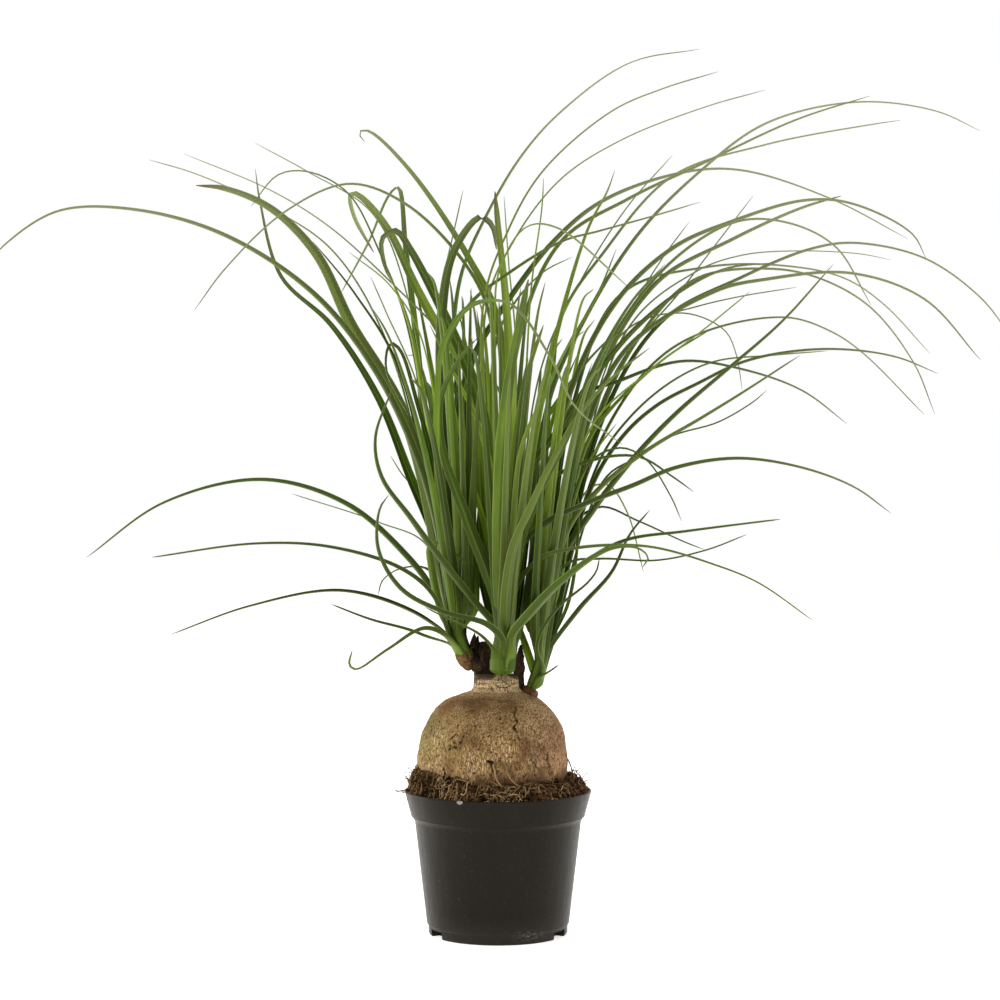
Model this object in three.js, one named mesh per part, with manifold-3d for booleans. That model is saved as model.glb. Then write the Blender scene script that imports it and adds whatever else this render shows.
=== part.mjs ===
// A ponytail palm in a plastic nursery pot. Millimetres, +Z up, origin at the centre of the pot's foot.
import * as THREE from 'three';
import { mergeVertices } from 'three/addons/utils/BufferGeometryUtils.js';
import Module from 'manifold-3d';

const wasm = await Module();
wasm.setup();

// Driving dimensions of the pot
const POT_HEIGHT = 94;
const RIM_RADIUS = 61.5;
const COLLAR_HEIGHT = 17;
const COLLAR_LOW_RADIUS = 57.3;
const LEDGE_DROP = 3;
const SHOULDER_RADIUS = 54.8;
const FOOT_RADIUS = 45.6;
const FOOT_CREASE_HEIGHT = 6;
const FOOT_CREASE_RADIUS = 46.7;
const FOOT_RING_WIDTH = 7;
const POT_WALL = 1.4;
const POT_FLOOR = 3;
const FLOOR_RECESS = 1.6;
const CENTRE_PAD_RADIUS = 14;
const POT_SIDES = 48;
const NOTCH_ANGLES = [-28, 90, 208];
const NOTCH_WIDTH = 15;
const NOTCH_HEIGHT = 4.8;

// Gap left between neighbouring pieces, and how near two corners are one
const GAP = 0.3;
const MERGE_DISTANCE = 1e-3;
const MERGE_ROUNDS = 3;
const CORNER_GRID = 0.002;
const MOST_NUDGES = 40;
const NUDGE = 0.02;
const GOLDEN_ANGLE = 2.4;

// Soil
const SOIL_CROWN_HEIGHT = 103;
const SOIL_SIDES = 36;
const SOIL_CROWN = [[58.9, 91.5], [58, 94.6], [54.5, 98], [50.5, 101], [44, 103]];
const SOIL_BUMP = 1.5;
const SOIL_BUMP_SIZE = 7;
const SOIL_HEAP_RISE = 9;
const SOIL_HEAP_ANGLE = 187;
const SOIL_HEAP_EDGE = 60.2;
const SOIL_HEAP_SLOPE = 6;

// Caudex: its axis lies a little left of the pot's, and its profile is [radius, height]
const CAUDEX_X = -3.3;
const CAUDEX_PROFILE = [
  [0, 72], [16, 72.4], [30, 78], [40, 87], [46, 97], [48.9, 107], [49.4, 115], [48.2, 123],
  [46.6, 131.5], [42.8, 139.7], [37, 147.6], [30, 153.4], [21.6, 157], [16, 160], [14.8, 164],
  [14.7, 168.6], [12, 170], [0, 170.3],
];
const NECK_SHIFT = 2.2;
const NECK_SHIFT_FROM = 152;
const NECK_SHIFT_TO = 160;
const CAUDEX_SIDES = 36;
const HOLLOW_TOP = 120;
const SMOOTH_BELOW = 112;
const BARK_BUMP = 0.9;
const BARK_BUMP_SIZE = 14;

// Each head of leaves: where its core stands, the way it leans, and the size of its core
const HEADS = {
  left: { foot: [-20.5, 4, 181], lean: [-0.34, 0.02, 0.94], radius: 7.2, height: 34 },
  middle: { foot: [3, -15.5, 171], lean: [0.03, -0.06, 1], radius: 7.7, height: 42 },
  right: { foot: [22, 2, 161], lean: [0.26, 0.03, 0.96], radius: 6, height: 38 },
};

// Branch stubs: [from, to, radius at from, radius at to]; a stub under a head ends at its foot
const DARK_STUB = { from: [-8, 7, 164], to: [-9.5, 10.5, 187], startRadius: 7.6, endRadius: 5.2 };
const HEAD_STUBS = {
  left: { from: [-12, 4.2, 173], startRadius: 6 },
  middle: { from: [1.5, -8, 157], startRadius: 9.2 },
  right: { from: [15, 2, 147], startRadius: 7.4 },
};
const STUB_SIDES = 14;
const STUB_CAP = 3;

// Leaves are listed as they are seen from straight in front, at this distance and height
const VIEW_DISTANCE = 1450;
const VIEW_HEIGHT = 285;

// Blade shape
const ROOT_NARROWING = 0.64;
const ROOT_LENGTH = 34;
const TAPER_START = 0.14;
const WIDE_END_DELAY = 0.2;
const BLADE_THICKNESS = 1.3;
const TIP_THICKNESS = 0.7;
const MIN_WIDTH = 0.9;
const TWIST_LENGTH = 60;
const KEEL_SHARE = 0.6;
const STEP_LENGTH = 41;
const BEND_LENGTH = 48;
const MIN_STEPS = 4;
const MAX_STEPS = 12;

// Clearing one leaf from the next, by moving it forward or back
const CLEARANCE = 0.9;
const CHECKS_PER_STEP = 5;
const CLEARING_ROUNDS = 220;
const STIFF_LENGTH = 6;
const FREE_LENGTH = 36;
const FUSED_LENGTH = 22;
const LEAST_LOOSE = 0.02;
const SMOOTHING = 0.12;

// The share along a leaf at which its heading is taken, and how far its root lies from the core's line
const EARLY_SHARE = 0.4;
const OPEN_ROOT_RISE = 4;
const YOUNG_ROOT_SHARE = 0.6;
const YOUNG_ROOT_REACH = 1;
const OPEN_ROOT_SHARE = 1.2;
const CORE_SIDES = 12;

// The tip depths listed below are stretched by this
const DEPTH_STRETCH = 1.6;
const FINE_POINTS = 160;

// [widest width, end width, turn of the face to the front in degrees, depth of the tip, points].
// A point is [across, up] as seen from the front, or [across, up, depth] where its depth is known
// better. The turn is how far the face is turned to the front from edge on: toward the side that
// shows by itself, or, where it is negative, the other one.
const LEFT_LEAVES = [
  [7, 1, 52, -70, [[-39, 259], [-52, 308], [-80, 368], [-121, 420], [-180, 459], [-240, 476],
    [-290, 475], [-325, 453], [-338, 438]]],
  [8, 1, 72, 45, [[-39, 252], [-58, 300], [-79, 352], [-110, 400], [-143, 432], [-157, 482],
    [-160, 503]]],
  [8.5, 3, 82, -15, [[-60, 335], [-97, 400], [-120, 447], [-150, 477], [-180, 490], [-199, 492]]],
  [2.5, 1, 30, 75, [[-70, 380], [-110, 450], [-160, 482], [-200, 500], [-230, 509]]],
  [6.5, 2, 60, 95, [[-48, 330], [-55, 400], [-61, 450], [-66, 491], [-72, 485], [-85, 455],
    [-103, 422]]],
  [2.5, 1, 30, -35, [[-60, 400], [-78, 448], [-99, 487], [-125, 501], [-145, 499], [-163, 478]]],
  [2, 1, 20, 60, [[-60, 420], [-83, 474], [-125, 501], [-160, 520]]],
  [2, 1, 20, -70, [[-50, 390], [-71, 426], [-98, 448]]],
  [4.5, 1, 50, 10, [[-65, 370], [-94, 420], [-122, 455]]],
  [2.5, 1, 30, 55, [[-52, 356], [-74, 409], [-84, 432]]],
  [5.5, 1, -60, -85, [[-42, 304], [-53, 347], [-65, 384], [-71, 388], [-74, 372], [-59, 340]]],
  [5.5, 1, 82, -50, [[-42, 310], [-50, 357], [-60, 405], [-75, 440]]],
  [6, 1, 52, -50, [[-42, 222], [-60, 247], [-100, 282], [-155, 298], [-220, 283], [-271, 247]]],
  [4.5, 1.5, 40, -95, [[-43, 222], [-65, 240], [-112, 254], [-160, 256], [-228, 247]]],
  [4.5, 1, 36, 30, [[-35, 196], [-58, 212], [-104, 225], [-163, 215], [-216, 196]]],
  [4.5, 1, 45, -25, [[-32, 187], [-55, 198], [-84, 206], [-110, 216]]],
  [5.5, 1, 68, -75, [[-36, 196], [-49, 200], [-73, 186], [-94, 173], [-98, 176], [-96, 186]]],
  [4.5, 1, 45, 60, [[-45, 238], [-63, 240], [-76, 232], [-79, 222]]],
  [2, 1, 20, 85, [[-47, 255], [-78, 270], [-136, 289]]],
  [2.5, 1, 30, 60, [[-41, 282], [-61, 299], [-71, 314]]],
  [5.5, 1, -60, -150, [[-37, 268], [-40, 350], [-35, 389], [-16, 414], [8, 414], [34, 380],
    [52, 345], [82, 321]]],
  [8, 3, 75, -60, [[-36, 330], [-37, 410], [-29, 449], [-12, 471], [-4, 466], [-1, 450]]],
  [6.5, 2, 70, -30, [[-35, 200], [-44, 240], [-45, 255], [-40, 257], [-28, 249], [-20, 243]]],
  [8, 1, 85, 55, [[-28, 205], [-32, 255], [-36, 310], [-42, 360], [-50, 405], [-55, 430]]],
  [8, 1, 80, 95, [[-22, 210], [-20, 260], [-16, 310], [-18, 362], [-10, 400]]],
  [5.5, 1, 45, 70, [[-30, 300], [-30, 380], [-24, 433], [-7, 473], [16, 512], [42, 541], [87, 573],
    [133, 582]]],
  [7, 1, 58, 60, [[-27, 330], [-16, 378], [7, 416], [36, 454], [68, 481], [120, 500], [160, 502],
    [220, 483], [270, 457]]],
  [5.5, 1, 50, -50, [[-35, 380], [-18, 414], [7, 434], [42, 455], [67, 462], [103, 472],
    [133, 481]]],
  [5.5, 1, 70, -100, [[-36, 250], [-45, 300], [-58, 352], [-72, 392], [-82, 410]]],
  [7.5, 1, 82, 60, [[-18, 215], [-13, 250], [-10, 290], [-8, 330], [-9, 370], [-14, 410]]],
  [2, 1, 20, 20, [[-40, 390], [-35, 435], [-29, 462], [-23, 489]]],
  [6.5, 1, 80, -40, [[-17, 200], [-15, 225], [-16, 260], [-20, 300], [-24, 345], [-26, 390]]],
];

const MIDDLE_LEAVES = [
  [2.5, 1, 30, 90, [[0, 358], [-30, 388], [-60, 418], [-110, 464], [-150, 489], [-207, 513]]],
  [4.5, 1, 42, -60, [[-2, 350], [-6, 407], [-21, 439], [-60, 479], [-98, 493], [-140, 475],
    [-180, 437], [-200, 410]]],
  [7.5, 2, 72, 50, [[0, 400], [-20, 445], [-60, 504], [-86, 528], [-92, 527], [-88, 521]]],
  [7, 1, 60, -75, [[3, 190], [-7, 202], [-37, 211], [-64, 226], [-79, 252], [-78, 279],
    [-72, 288]]],
  [8.5, 1.5, 85, -60, [[-2, 219], [-21, 273], [-37, 320], [-37, 354], [-23, 381], [-14, 391]]],
  [5.5, 1, 80, 5, [[-5, 252], [-21, 310], [-30, 352], [-31, 367]]],
  [3.5, 1, 50, -45, [[-3, 185], [-12, 196], [-34, 207], [-48, 214]]],
  [7, 1, 60, -45, [[-1, 197], [-19, 221], [-39, 247], [-58, 273], [-77, 300], [-81, 326],
    [-69, 360]]],
  [7, 1, 85, 25, [[0, 200], [-8, 235], [-20, 270], [-34, 310], [-42, 345], [-56, 385]]],
  [8.5, 3, 88, -95, [[1, 226], [2, 310], [8, 368], [13, 395], [20, 430]]],
  [6.5, 2, 80, -65, [[6, 268], [15, 347], [21, 373], [30, 400]]],
  [6.5, 1, 80, -30, [[0, 273], [-11, 329], [-30, 370], [-45, 400]]],
  [5.5, 1, 70, -75, [[10, 268], [16, 320], [36, 365], [50, 395]]],
  [7, 1, 75, 35, [[15, 280], [26, 326], [54, 370], [80, 398]]],
  [7.5, 1, 65, -85, [[5, 210], [10, 252], [21, 278], [36, 310], [54, 341], [75, 365], [100, 385]]],
  [6, 3.5, 85, 40, [[9, 300], [9, 350], [5, 419], [0, 466], [-2, 488]]],
  [2.5, 1, 30, 80, [[12, 380], [7, 442], [4, 485]]],
  [2.5, 1, 30, -30, [[18, 360], [22, 425], [29, 478], [30, 497]]],
  [2.5, 1, 30, -75, [[-2, 400], [1, 436], [19, 465], [39, 464], [86, 425]]],
  [5, 1, 60, 50, [[-2, 385], [10, 413], [30, 435], [49, 445]]],
  [4.5, 1, 60, 20, [[30, 350], [42, 378], [67, 423], [78, 450]]],
  [2.5, 1, 30, -45, [[-10, 410], [7, 463], [30, 502], [75, 541], [109, 556], [145, 567]]],
  [2.5, 1, 25, 65, [[-8, 410], [10, 455], [41, 496], [81, 522], [137, 544], [176, 555]]],
  [6.5, 1, 82, -20, [[25, 330], [42, 407], [60, 465], [72, 488], [77, 502]]],
  [5.5, 1, 40, 60, [[34, 350], [57, 403], [92, 459], [132, 500], [177, 533], [237, 547], [289, 541],
    [318, 528]]],
  [5.5, 1, 42, -25, [[12, 380], [41, 454], [86, 483], [132, 505], [196, 535], [245, 551]]],
  [4.5, 1, 36, 20, [[40, 400], [70, 448], [115, 498], [177, 519], [245, 532], [265, 535]]],
  [6.5, 1, 50, -60, [[46, 350], [78, 415], [116, 451], [154, 468], [202, 482], [233, 480],
    [273, 460], [282, 444]]],
  [6.5, 1, 50, -65, [[10, 243], [27, 266], [58, 282], [89, 294], [118, 306], [158, 312], [200, 306],
    [235, 293], [259, 276]]],
  [5, 1.5, 45, -50, [[16, 205], [31, 221], [58, 244], [84, 258], [124, 264], [186, 272]]],
  [4.5, 1, 45, -52, [[12, 225, -32], [28, 246, -46], [52, 253, -58], [99, 254, -70],
    [143, 242, -78], [172, 230, -81], [208, 205, -84]]],
  [8.5, 1.5, 62, -70, [[10, 195], [20, 208], [42, 231], [73, 252], [92, 253], [99, 247], [95, 240]]],
  [5.5, 1, 55, -20, [[10, 255], [33, 296], [63, 311], [93, 313], [115, 300], [129, 290]]],
  [8, 1, 72, 30, [[19, 299], [42, 333], [63, 365], [90, 397], [120, 422], [150, 437],
    [180, 441]]],
  [7, 1, 72, -60, [[10, 236], [25, 284], [45, 325], [65, 375], [88, 415], [110, 440]]],
  [5.5, 1, 62, 50, [[6, 250], [18, 300], [34, 350], [40, 400], [56, 455], [62, 470]]],
  [7, 3, 84, 45, [[-3, 250], [-8, 310], [-20, 370], [-38, 396], [-54, 425], [-73, 464],
    [-90, 484], [-97, 487], [-95, 473], [-82, 448]]],
  [8, 3, 86, 30, [[0, 250], [-4, 310], [-15, 358], [-30, 395], [-46, 428], [-58, 450], [-67, 462],
    [-76, 457], [-74, 438], [-69, 427]]],
  [6.5, 1, 80, 45, [[-3, 198], [-9, 225], [-15, 255], [-19, 290], [-24, 335], [-34, 380]]],
  [7.5, 1, 82, 75, [[-1, 205], [-7, 240], [-11, 280], [-13, 320], [-18, 370], [-26, 410]]],
  [2, 1, 20, 30, [[28, 370], [56, 432], [86, 479], [115, 512]]],
  [7.5, 1, 82, 70, [[10, 210], [16, 245], [21, 280], [27, 320], [38, 365], [55, 400]]],
];

const RIGHT_LEAVES = [
  [2.5, 1, 30, 60, [[80, 370], [120, 422], [145, 455], [168, 485]]],
  [2.5, 1, 35, 55, [[80, 392], [120, 408], [149, 397], [157, 381], [161, 357]]],
  [5.5, 2.5, 45, 30, [[60, 350], [104, 427], [154, 456], [200, 477], [226, 485]]],
  [4.5, 1, 45, -100, [[58, 350], [103, 430], [154, 467], [188, 468], [222, 452], [246, 413]]],
  [5, 1, 48, 15, [[70, 340], [109, 403], [160, 431], [206, 450], [235, 454], [281, 444],
    [318, 418], [340, 390]]],
  [2.5, 1, 25, 85, [[84, 395], [130, 435], [160, 446], [196, 449], [239, 447], [259, 443]]],
  [6, 1, 48, -60, [[52, 310], [84, 383], [143, 422], [177, 430], [233, 434], [281, 417],
    [318, 377]]],
  [4.5, 1, 48, 75, [[48, 340], [81, 420], [137, 438], [189, 439], [228, 431], [254, 414],
    [285, 381]]],
  [4.5, 1, 45, 30, [[60, 320], [92, 390], [130, 430], [178, 437], [211, 431], [245, 412],
    [274, 375], [288, 341]]],
  [6, 1, 62, -35, [[40, 240], [63, 278], [92, 315], [118, 342], [154, 373], [188, 403],
    [221, 440]]],
  [3.5, 1, 45, 50, [[62, 310], [100, 372], [135, 395], [190, 405], [219, 396], [240, 382],
    [281, 341]]],
  [4.5, 1, 52, -15, [[61, 291], [82, 326], [105, 347], [133, 362], [160, 375], [190, 382],
    [225, 384], [262, 379], [290, 368]]],
  [3.5, 1, 35, 20, [[66, 308], [87, 339], [115, 363], [143, 376], [180, 380], [217, 383]]],
  [5, 1, 52, 10, [[52, 349], [80, 363], [121, 376], [160, 371], [200, 357], [230, 335]]],
  [2.5, 1, 25, 40, [[78, 370], [110, 405], [130, 412], [160, 419], [197, 425]]],
  [2.5, 1, 30, -40, [[60, 330], [100, 370], [133, 395], [166, 422]]],
  [5.5, 1, 62, -60, [[45, 262], [66, 291], [98, 317], [133, 338], [159, 354], [199, 380]]],
  [2.5, 1, 30, -20, [[70, 298], [90, 312], [115, 327], [145, 336], [169, 350], [177, 357]]],
  [3, 1, 35, -30, [[34, 220], [46, 243], [67, 246], [105, 245], [138, 252], [164, 262]]],
  [3.5, 1, 45, 30, [[45, 262], [67, 280], [92, 271], [123, 257], [136, 252]]],
  [5, 1, 62, -20, [[30, 178], [53, 212], [75, 237], [87, 262], [100, 278]]],
  [2.5, 1, 30, 10, [[58, 290], [72, 295], [85, 277], [96, 237]]],
  [3.5, 1, 40, -55, [[58, 306], [80, 319], [97, 312], [114, 287], [121, 271]]],
  [5, 1, 70, -10, [[58, 320], [73, 343], [110, 378], [140, 397]]],
  [3.5, 1, 60, -20, [[29, 181], [46, 215], [52, 250], [53, 280], [48, 312]]],
  [6, 1, 80, 60, [[26, 182], [33, 215], [37, 250], [42, 285], [55, 330], [70, 365]]],
  [6, 1, 80, 90, [[24, 182], [27, 220], [30, 260], [38, 300], [50, 340], [62, 375]]],
  [3.5, 1, 70, -30, [[30, 184], [35, 207], [43, 240], [48, 275], [60, 310], [78, 335]]],
  [3, 1, 60, -15, [[25, 166], [30, 169], [40, 176]]],
  [6.5, 2, 82, 16, [[24, 168], [21.5, 177], [17.5, 190], [14, 201], [11, 216]]],
  [3.5, 1, 60, -40, [[26, 190], [38, 212], [59, 230], [65, 238], [67, 247]]],
  [2, 1, 25, 35, [[64, 350], [88, 410], [109, 445], [126, 468]]],
  [7, 1, 82, 50, [[22, 190], [22, 225], [24, 260], [29, 300], [38, 345], [52, 380]]],
];

// Further leaves that rise through the middle and arch forward or back, drawn with a seeded rule
const FILL_SEED = 43;
const FILLS = {
  left: { count: 12, across: [-62, -8] },
  middle: { count: 15, across: [-24, 44] },
  right: { count: 11, across: [26, 92] },
};
const FILL_TOP = [360, 440];
const FILL_DEPTH = [110, 215];
const FILL_WIDTH = [6, 8.5];
const FILL_TURN = [50, 90];
const FILL_PEAK_BACK = [0.9, 1.15];
const FILL_PEAK_FRONT = [0.95, 1.2];
const FILL_STATIONS = [0.16, 0.34, 0.56, 0.78, 1];

// Finishes
const DARK_PLASTIC = new THREE.MeshStandardMaterial({ color: 0x3a3431, roughness: 0.48, metalness: 0 });
const PEAT = new THREE.MeshStandardMaterial({ color: 0x3b2a1f, roughness: 0.98, metalness: 0 });
const BARK = new THREE.MeshStandardMaterial({ color: 0xa78d68, roughness: 0.85, metalness: 0 });
const LEAF_DARK = new THREE.MeshStandardMaterial({ color: 0x3c5a1e, roughness: 0.45, metalness: 0 });
const LEAF_BRIGHT = new THREE.MeshStandardMaterial({ color: 0x6f9a2c, roughness: 0.45, metalness: 0 });
const LEAF_MID = new THREE.MeshStandardMaterial({ color: 0x4d6d27, roughness: 0.45, metalness: 0 });

function seededRandom(seed) {
  let state = seed;
  return () => {
    state = (state + 0x6d2b79f5) >>> 0;
    let mixed = Math.imul(state ^ (state >>> 15), state | 1);
    mixed = (mixed + Math.imul(mixed ^ (mixed >>> 7), mixed | 61)) ^ mixed;
    return ((mixed ^ (mixed >>> 14)) >>> 0) / 4294967296;
  };
}

const mix = (from, to, share) => from + (to - from) * share;
const clamp = (value, low, high) => Math.min(high, Math.max(low, value));
const degrees = (angle) => (angle * Math.PI) / 180;

// A closed geometry as a solid that can be joined and cut
function solidOf(geometry) {
  geometry.deleteAttribute('normal');
  geometry.deleteAttribute('uv');
  const merged = mergeVertices(geometry, MERGE_DISTANCE);
  const corners = merged.index.array;
  const kept = [];
  for (let i = 0; i < corners.length; i += 3) {
    const [a, b, c] = corners.slice(i, i + 3);
    if (a !== b && b !== c && c !== a) kept.push(a, b, c);
  }
  return new wasm.Manifold(new wasm.Mesh({
    numProp: 3,
    vertProperties: Float32Array.from(merged.attributes.position.array),
    triVerts: Uint32Array.from(kept),
  }));
}

function geometryOf(solid) {
  const mesh = solid.getMesh();
  const geometry = new THREE.BufferGeometry();
  geometry.setAttribute('position', new THREE.BufferAttribute(mesh.vertProperties, 3));
  geometry.setIndex(new THREE.BufferAttribute(mesh.triVerts, 1));
  return geometry;
}

function named(name, solid, material) {
  const mesh = new THREE.Mesh(geometryOf(solid), material);
  mesh.name = name;
  return mesh;
}

// A profile of [radius, height] pairs turned about the Z axis
function turned(profile, sides) {
  const geometry = new THREE.LatheGeometry(profile.map(([r, z]) => new THREE.Vector2(r, z)), sides);
  return geometry.rotateX(Math.PI / 2);
}

// A round stub or core between two places, from a profile of [radius, distance along it]
function turnedAlong(profile, sides, from, direction) {
  const geometry = turned(profile, sides);
  const up = new THREE.Vector3(0, 0, 1);
  const turn = new THREE.Quaternion().setFromUnitVectors(up, direction.clone().normalize());
  return geometry.applyQuaternion(turn).translate(from.x, from.y, from.z);
}

function makePot() {
  const collarFoot = POT_HEIGHT - COLLAR_HEIGHT;
  const ledgeFoot = collarFoot - LEDGE_DROP;
  const ringInner = FOOT_RADIUS - FOOT_RING_WIDTH;
  const shell = turned([
    [0, 0], [CENTRE_PAD_RADIUS, 0], [CENTRE_PAD_RADIUS + 2, FLOOR_RECESS],
    [ringInner - 2, FLOOR_RECESS], [ringInner, 0], [FOOT_RADIUS - 0.8, 0], [FOOT_RADIUS, 0.8],
    [FOOT_CREASE_RADIUS - 0.5, FOOT_CREASE_HEIGHT], [FOOT_CREASE_RADIUS, FOOT_CREASE_HEIGHT + 0.8],
    [SHOULDER_RADIUS, ledgeFoot], [COLLAR_LOW_RADIUS - 0.6, collarFoot],
    [COLLAR_LOW_RADIUS, collarFoot + 0.7], [RIM_RADIUS, POT_HEIGHT - 0.7],
    [RIM_RADIUS - 0.6, POT_HEIGHT], [RIM_RADIUS - POT_WALL, POT_HEIGHT],
    [COLLAR_LOW_RADIUS - POT_WALL, collarFoot + 1], [SHOULDER_RADIUS - POT_WALL, ledgeFoot - 0.5],
    [FOOT_CREASE_RADIUS - POT_WALL, POT_FLOOR + 2], [FOOT_CREASE_RADIUS - POT_WALL - 2, POT_FLOOR],
    [0, POT_FLOOR],
  ], POT_SIDES);
  let pot = solidOf(shell);
  for (const angle of NOTCH_ANGLES) {
    const notch = new THREE.BoxGeometry(FOOT_RING_WIDTH + 4, NOTCH_WIDTH, NOTCH_HEIGHT * 2);
    notch.translate(FOOT_RADIUS - 1, 0, 0).rotateZ(degrees(angle));
    pot = pot.subtract(solidOf(notch));
  }
  return pot;
}

// Low bumps on the soil and the bark, from a few crossed waves
function ripple(x, y, z, scale) {
  const u = x / scale;
  const v = y / scale;
  const w = z / scale;
  return (Math.sin(u * 1.7 + v * 0.9 + 1.3) + Math.sin(v * 2.3 - w * 1.1 + 0.4)
    + Math.sin(w * 1.9 + u * 1.3 + 2.6)) / 3;
}

// How much of its full height the heap on one side of the soil has at a place
function heapShare(x, y) {
  const side = degrees(SOIL_HEAP_ANGLE);
  const reach = Math.hypot(x, y);
  const toward = (x * Math.cos(side) + y * Math.sin(side)) / Math.max(1, reach);
  return clamp(toward, 0, 1) ** 1.5 * clamp((SOIL_HEAP_EDGE - reach) / SOIL_HEAP_SLOPE, 0, 1);
}

const caudexRadiusAt = (height) => {
  const above = CAUDEX_PROFILE.findIndex(([, z]) => z >= height);
  const [r0, z0] = CAUDEX_PROFILE[above - 1];
  const [r1, z1] = CAUDEX_PROFILE[above];
  return mix(r0, r1, (height - z0) / (z1 - z0));
};

function makeSoil() {
  const collarFoot = POT_HEIGHT - COLLAR_HEIGHT;
  const clear = POT_WALL + GAP;
  const bodyTop = collarFoot - LEDGE_DROP - 1.2;
  const mass = turned([
    [0, POT_FLOOR + GAP], [FOOT_CREASE_RADIUS - clear - 2.4, POT_FLOOR + GAP],
    [FOOT_CREASE_RADIUS - clear - 0.2, POT_FLOOR + 2.6], [SHOULDER_RADIUS - clear - 0.2, bodyTop],
    [COLLAR_LOW_RADIUS - clear - 0.2, collarFoot + 1.6], ...SOIL_CROWN, [0, SOIL_CROWN_HEIGHT],
  ], SOIL_SIDES);
  const spots = mass.attributes.position;
  for (let i = 0; i < spots.count; i += 1) {
    const z = spots.getZ(i);
    const x = spots.getX(i);
    const y = spots.getY(i);
    if (z > SOIL_CROWN[0][1] + 0.5) {
      const heap = SOIL_HEAP_RISE * heapShare(x, y);
      spots.setZ(i, z + heap + SOIL_BUMP * ripple(x, y, z, SOIL_BUMP_SIZE));
    }
  }
  const hollow = turned(
    CAUDEX_PROFILE.filter(([, z]) => z < HOLLOW_TOP).map(([r, z]) => [r && r + GAP, z - GAP])
      .concat([[caudexRadiusAt(HOLLOW_TOP) + GAP, HOLLOW_TOP], [0, HOLLOW_TOP]]),
    CAUDEX_SIDES,
  ).translate(CAUDEX_X, 0, 0);
  return solidOf(mass).subtract(solidOf(hollow));
}

function makeCaudex() {
  const bulb = turned(CAUDEX_PROFILE, CAUDEX_SIDES);
  const spots = bulb.attributes.position;
  for (let i = 0; i < spots.count; i += 1) {
    const [x, y, z] = [spots.getX(i), spots.getY(i), spots.getZ(i)];
    const radius = Math.hypot(x, y);
    if (z > SMOOTH_BELOW && radius > 1) {
      const grow = 1 + (BARK_BUMP * ripple(x, y, z, BARK_BUMP_SIZE)) / radius;
      spots.setXY(i, x * grow, y * grow);
    }
    const shifted = clamp((z - NECK_SHIFT_FROM) / (NECK_SHIFT_TO - NECK_SHIFT_FROM), 0, 1);
    spots.setX(i, spots.getX(i) + NECK_SHIFT * shifted);
  }
  let body = solidOf(bulb.translate(CAUDEX_X, 0, 0));
  for (const stub of makeStubs()) body = body.add(stub);
  return body;
}

// The branch stubs, each with a flat round end under its head
function makeStubs() {
  const stubs = [stubBetween(DARK_STUB)];
  for (const [side, { foot, lean, radius }] of Object.entries(HEADS)) {
    const up = new THREE.Vector3(...lean).normalize();
    const low = new THREE.Vector3(...foot).addScaledVector(up, -STUB_CAP);
    const { from, startRadius } = HEAD_STUBS[side];
    stubs.push(stubBetween({ from, to: low.toArray(), startRadius, endRadius: radius }));
    const cap = [[0, 0], [radius, 0], [radius, STUB_CAP], [0, STUB_CAP]];
    stubs.push(solidOf(turnedAlong(cap, STUB_SIDES, low, up)));
  }
  return stubs;
}

function stubBetween({ from, to, startRadius, endRadius }) {
  const start = new THREE.Vector3(...from);
  const along = new THREE.Vector3(...to).sub(start);
  const length = along.length();
  const profile = [
    [0, 0], [startRadius, 0], [endRadius, length - 1], [endRadius * 0.7, length], [0, length],
  ];
  return solidOf(turnedAlong(profile, STUB_SIDES, start, along));
}

function fillLeaves() {
  const random = seededRandom(FILL_SEED);
  const between = ([low, high]) => mix(low, high, random());
  const fills = {};
  for (const [side, { count, across }] of Object.entries(FILLS)) {
    const [footX, footY, footZ] = HEADS[side].foot;
    fills[side] = [];
    for (let k = 0; k < count; k += 1) {
      const toBack = k % 2 === 0;
      const share = (k + random()) / count;
      const topX = mix(across[0], across[1], share);
      const topZ = between(FILL_TOP);
      const depth = between(FILL_DEPTH) * (toBack ? 1 : -1);
      const peak = between(toBack ? FILL_PEAK_BACK : FILL_PEAK_FRONT);
      const width = between(FILL_WIDTH);
      const turn = between(FILL_TURN);
      const points = FILL_STATIONS.map((station) => [
        mix(footX, topX, Math.min(1.1, station / peak) ** 0.8),
        mix(footZ, topZ, 1 - (1 - station / peak) ** 2),
        footY + depth * station,
      ]);
      fills[side].push([width, 1, turn, depth, points]);
    }
  }
  return fills;
}

// The depth of each listed point: its own, or a share of the tip's by the length seen so far
function withDepths([, , , depth, points], root) {
  const seen = [0];
  points.forEach(([x, z], k) => {
    const [fromX, fromZ] = k ? points[k - 1] : [root[0], root[2]];
    seen.push(seen[k] + Math.hypot(x - fromX, z - fromZ));
  });
  return points.map(([x, z, y], k) => (
    new THREE.Vector3(x, y ?? root[1] + (DEPTH_STRETCH * depth * seen[k + 1]) / seen.at(-1), z)
  ));
}

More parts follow.
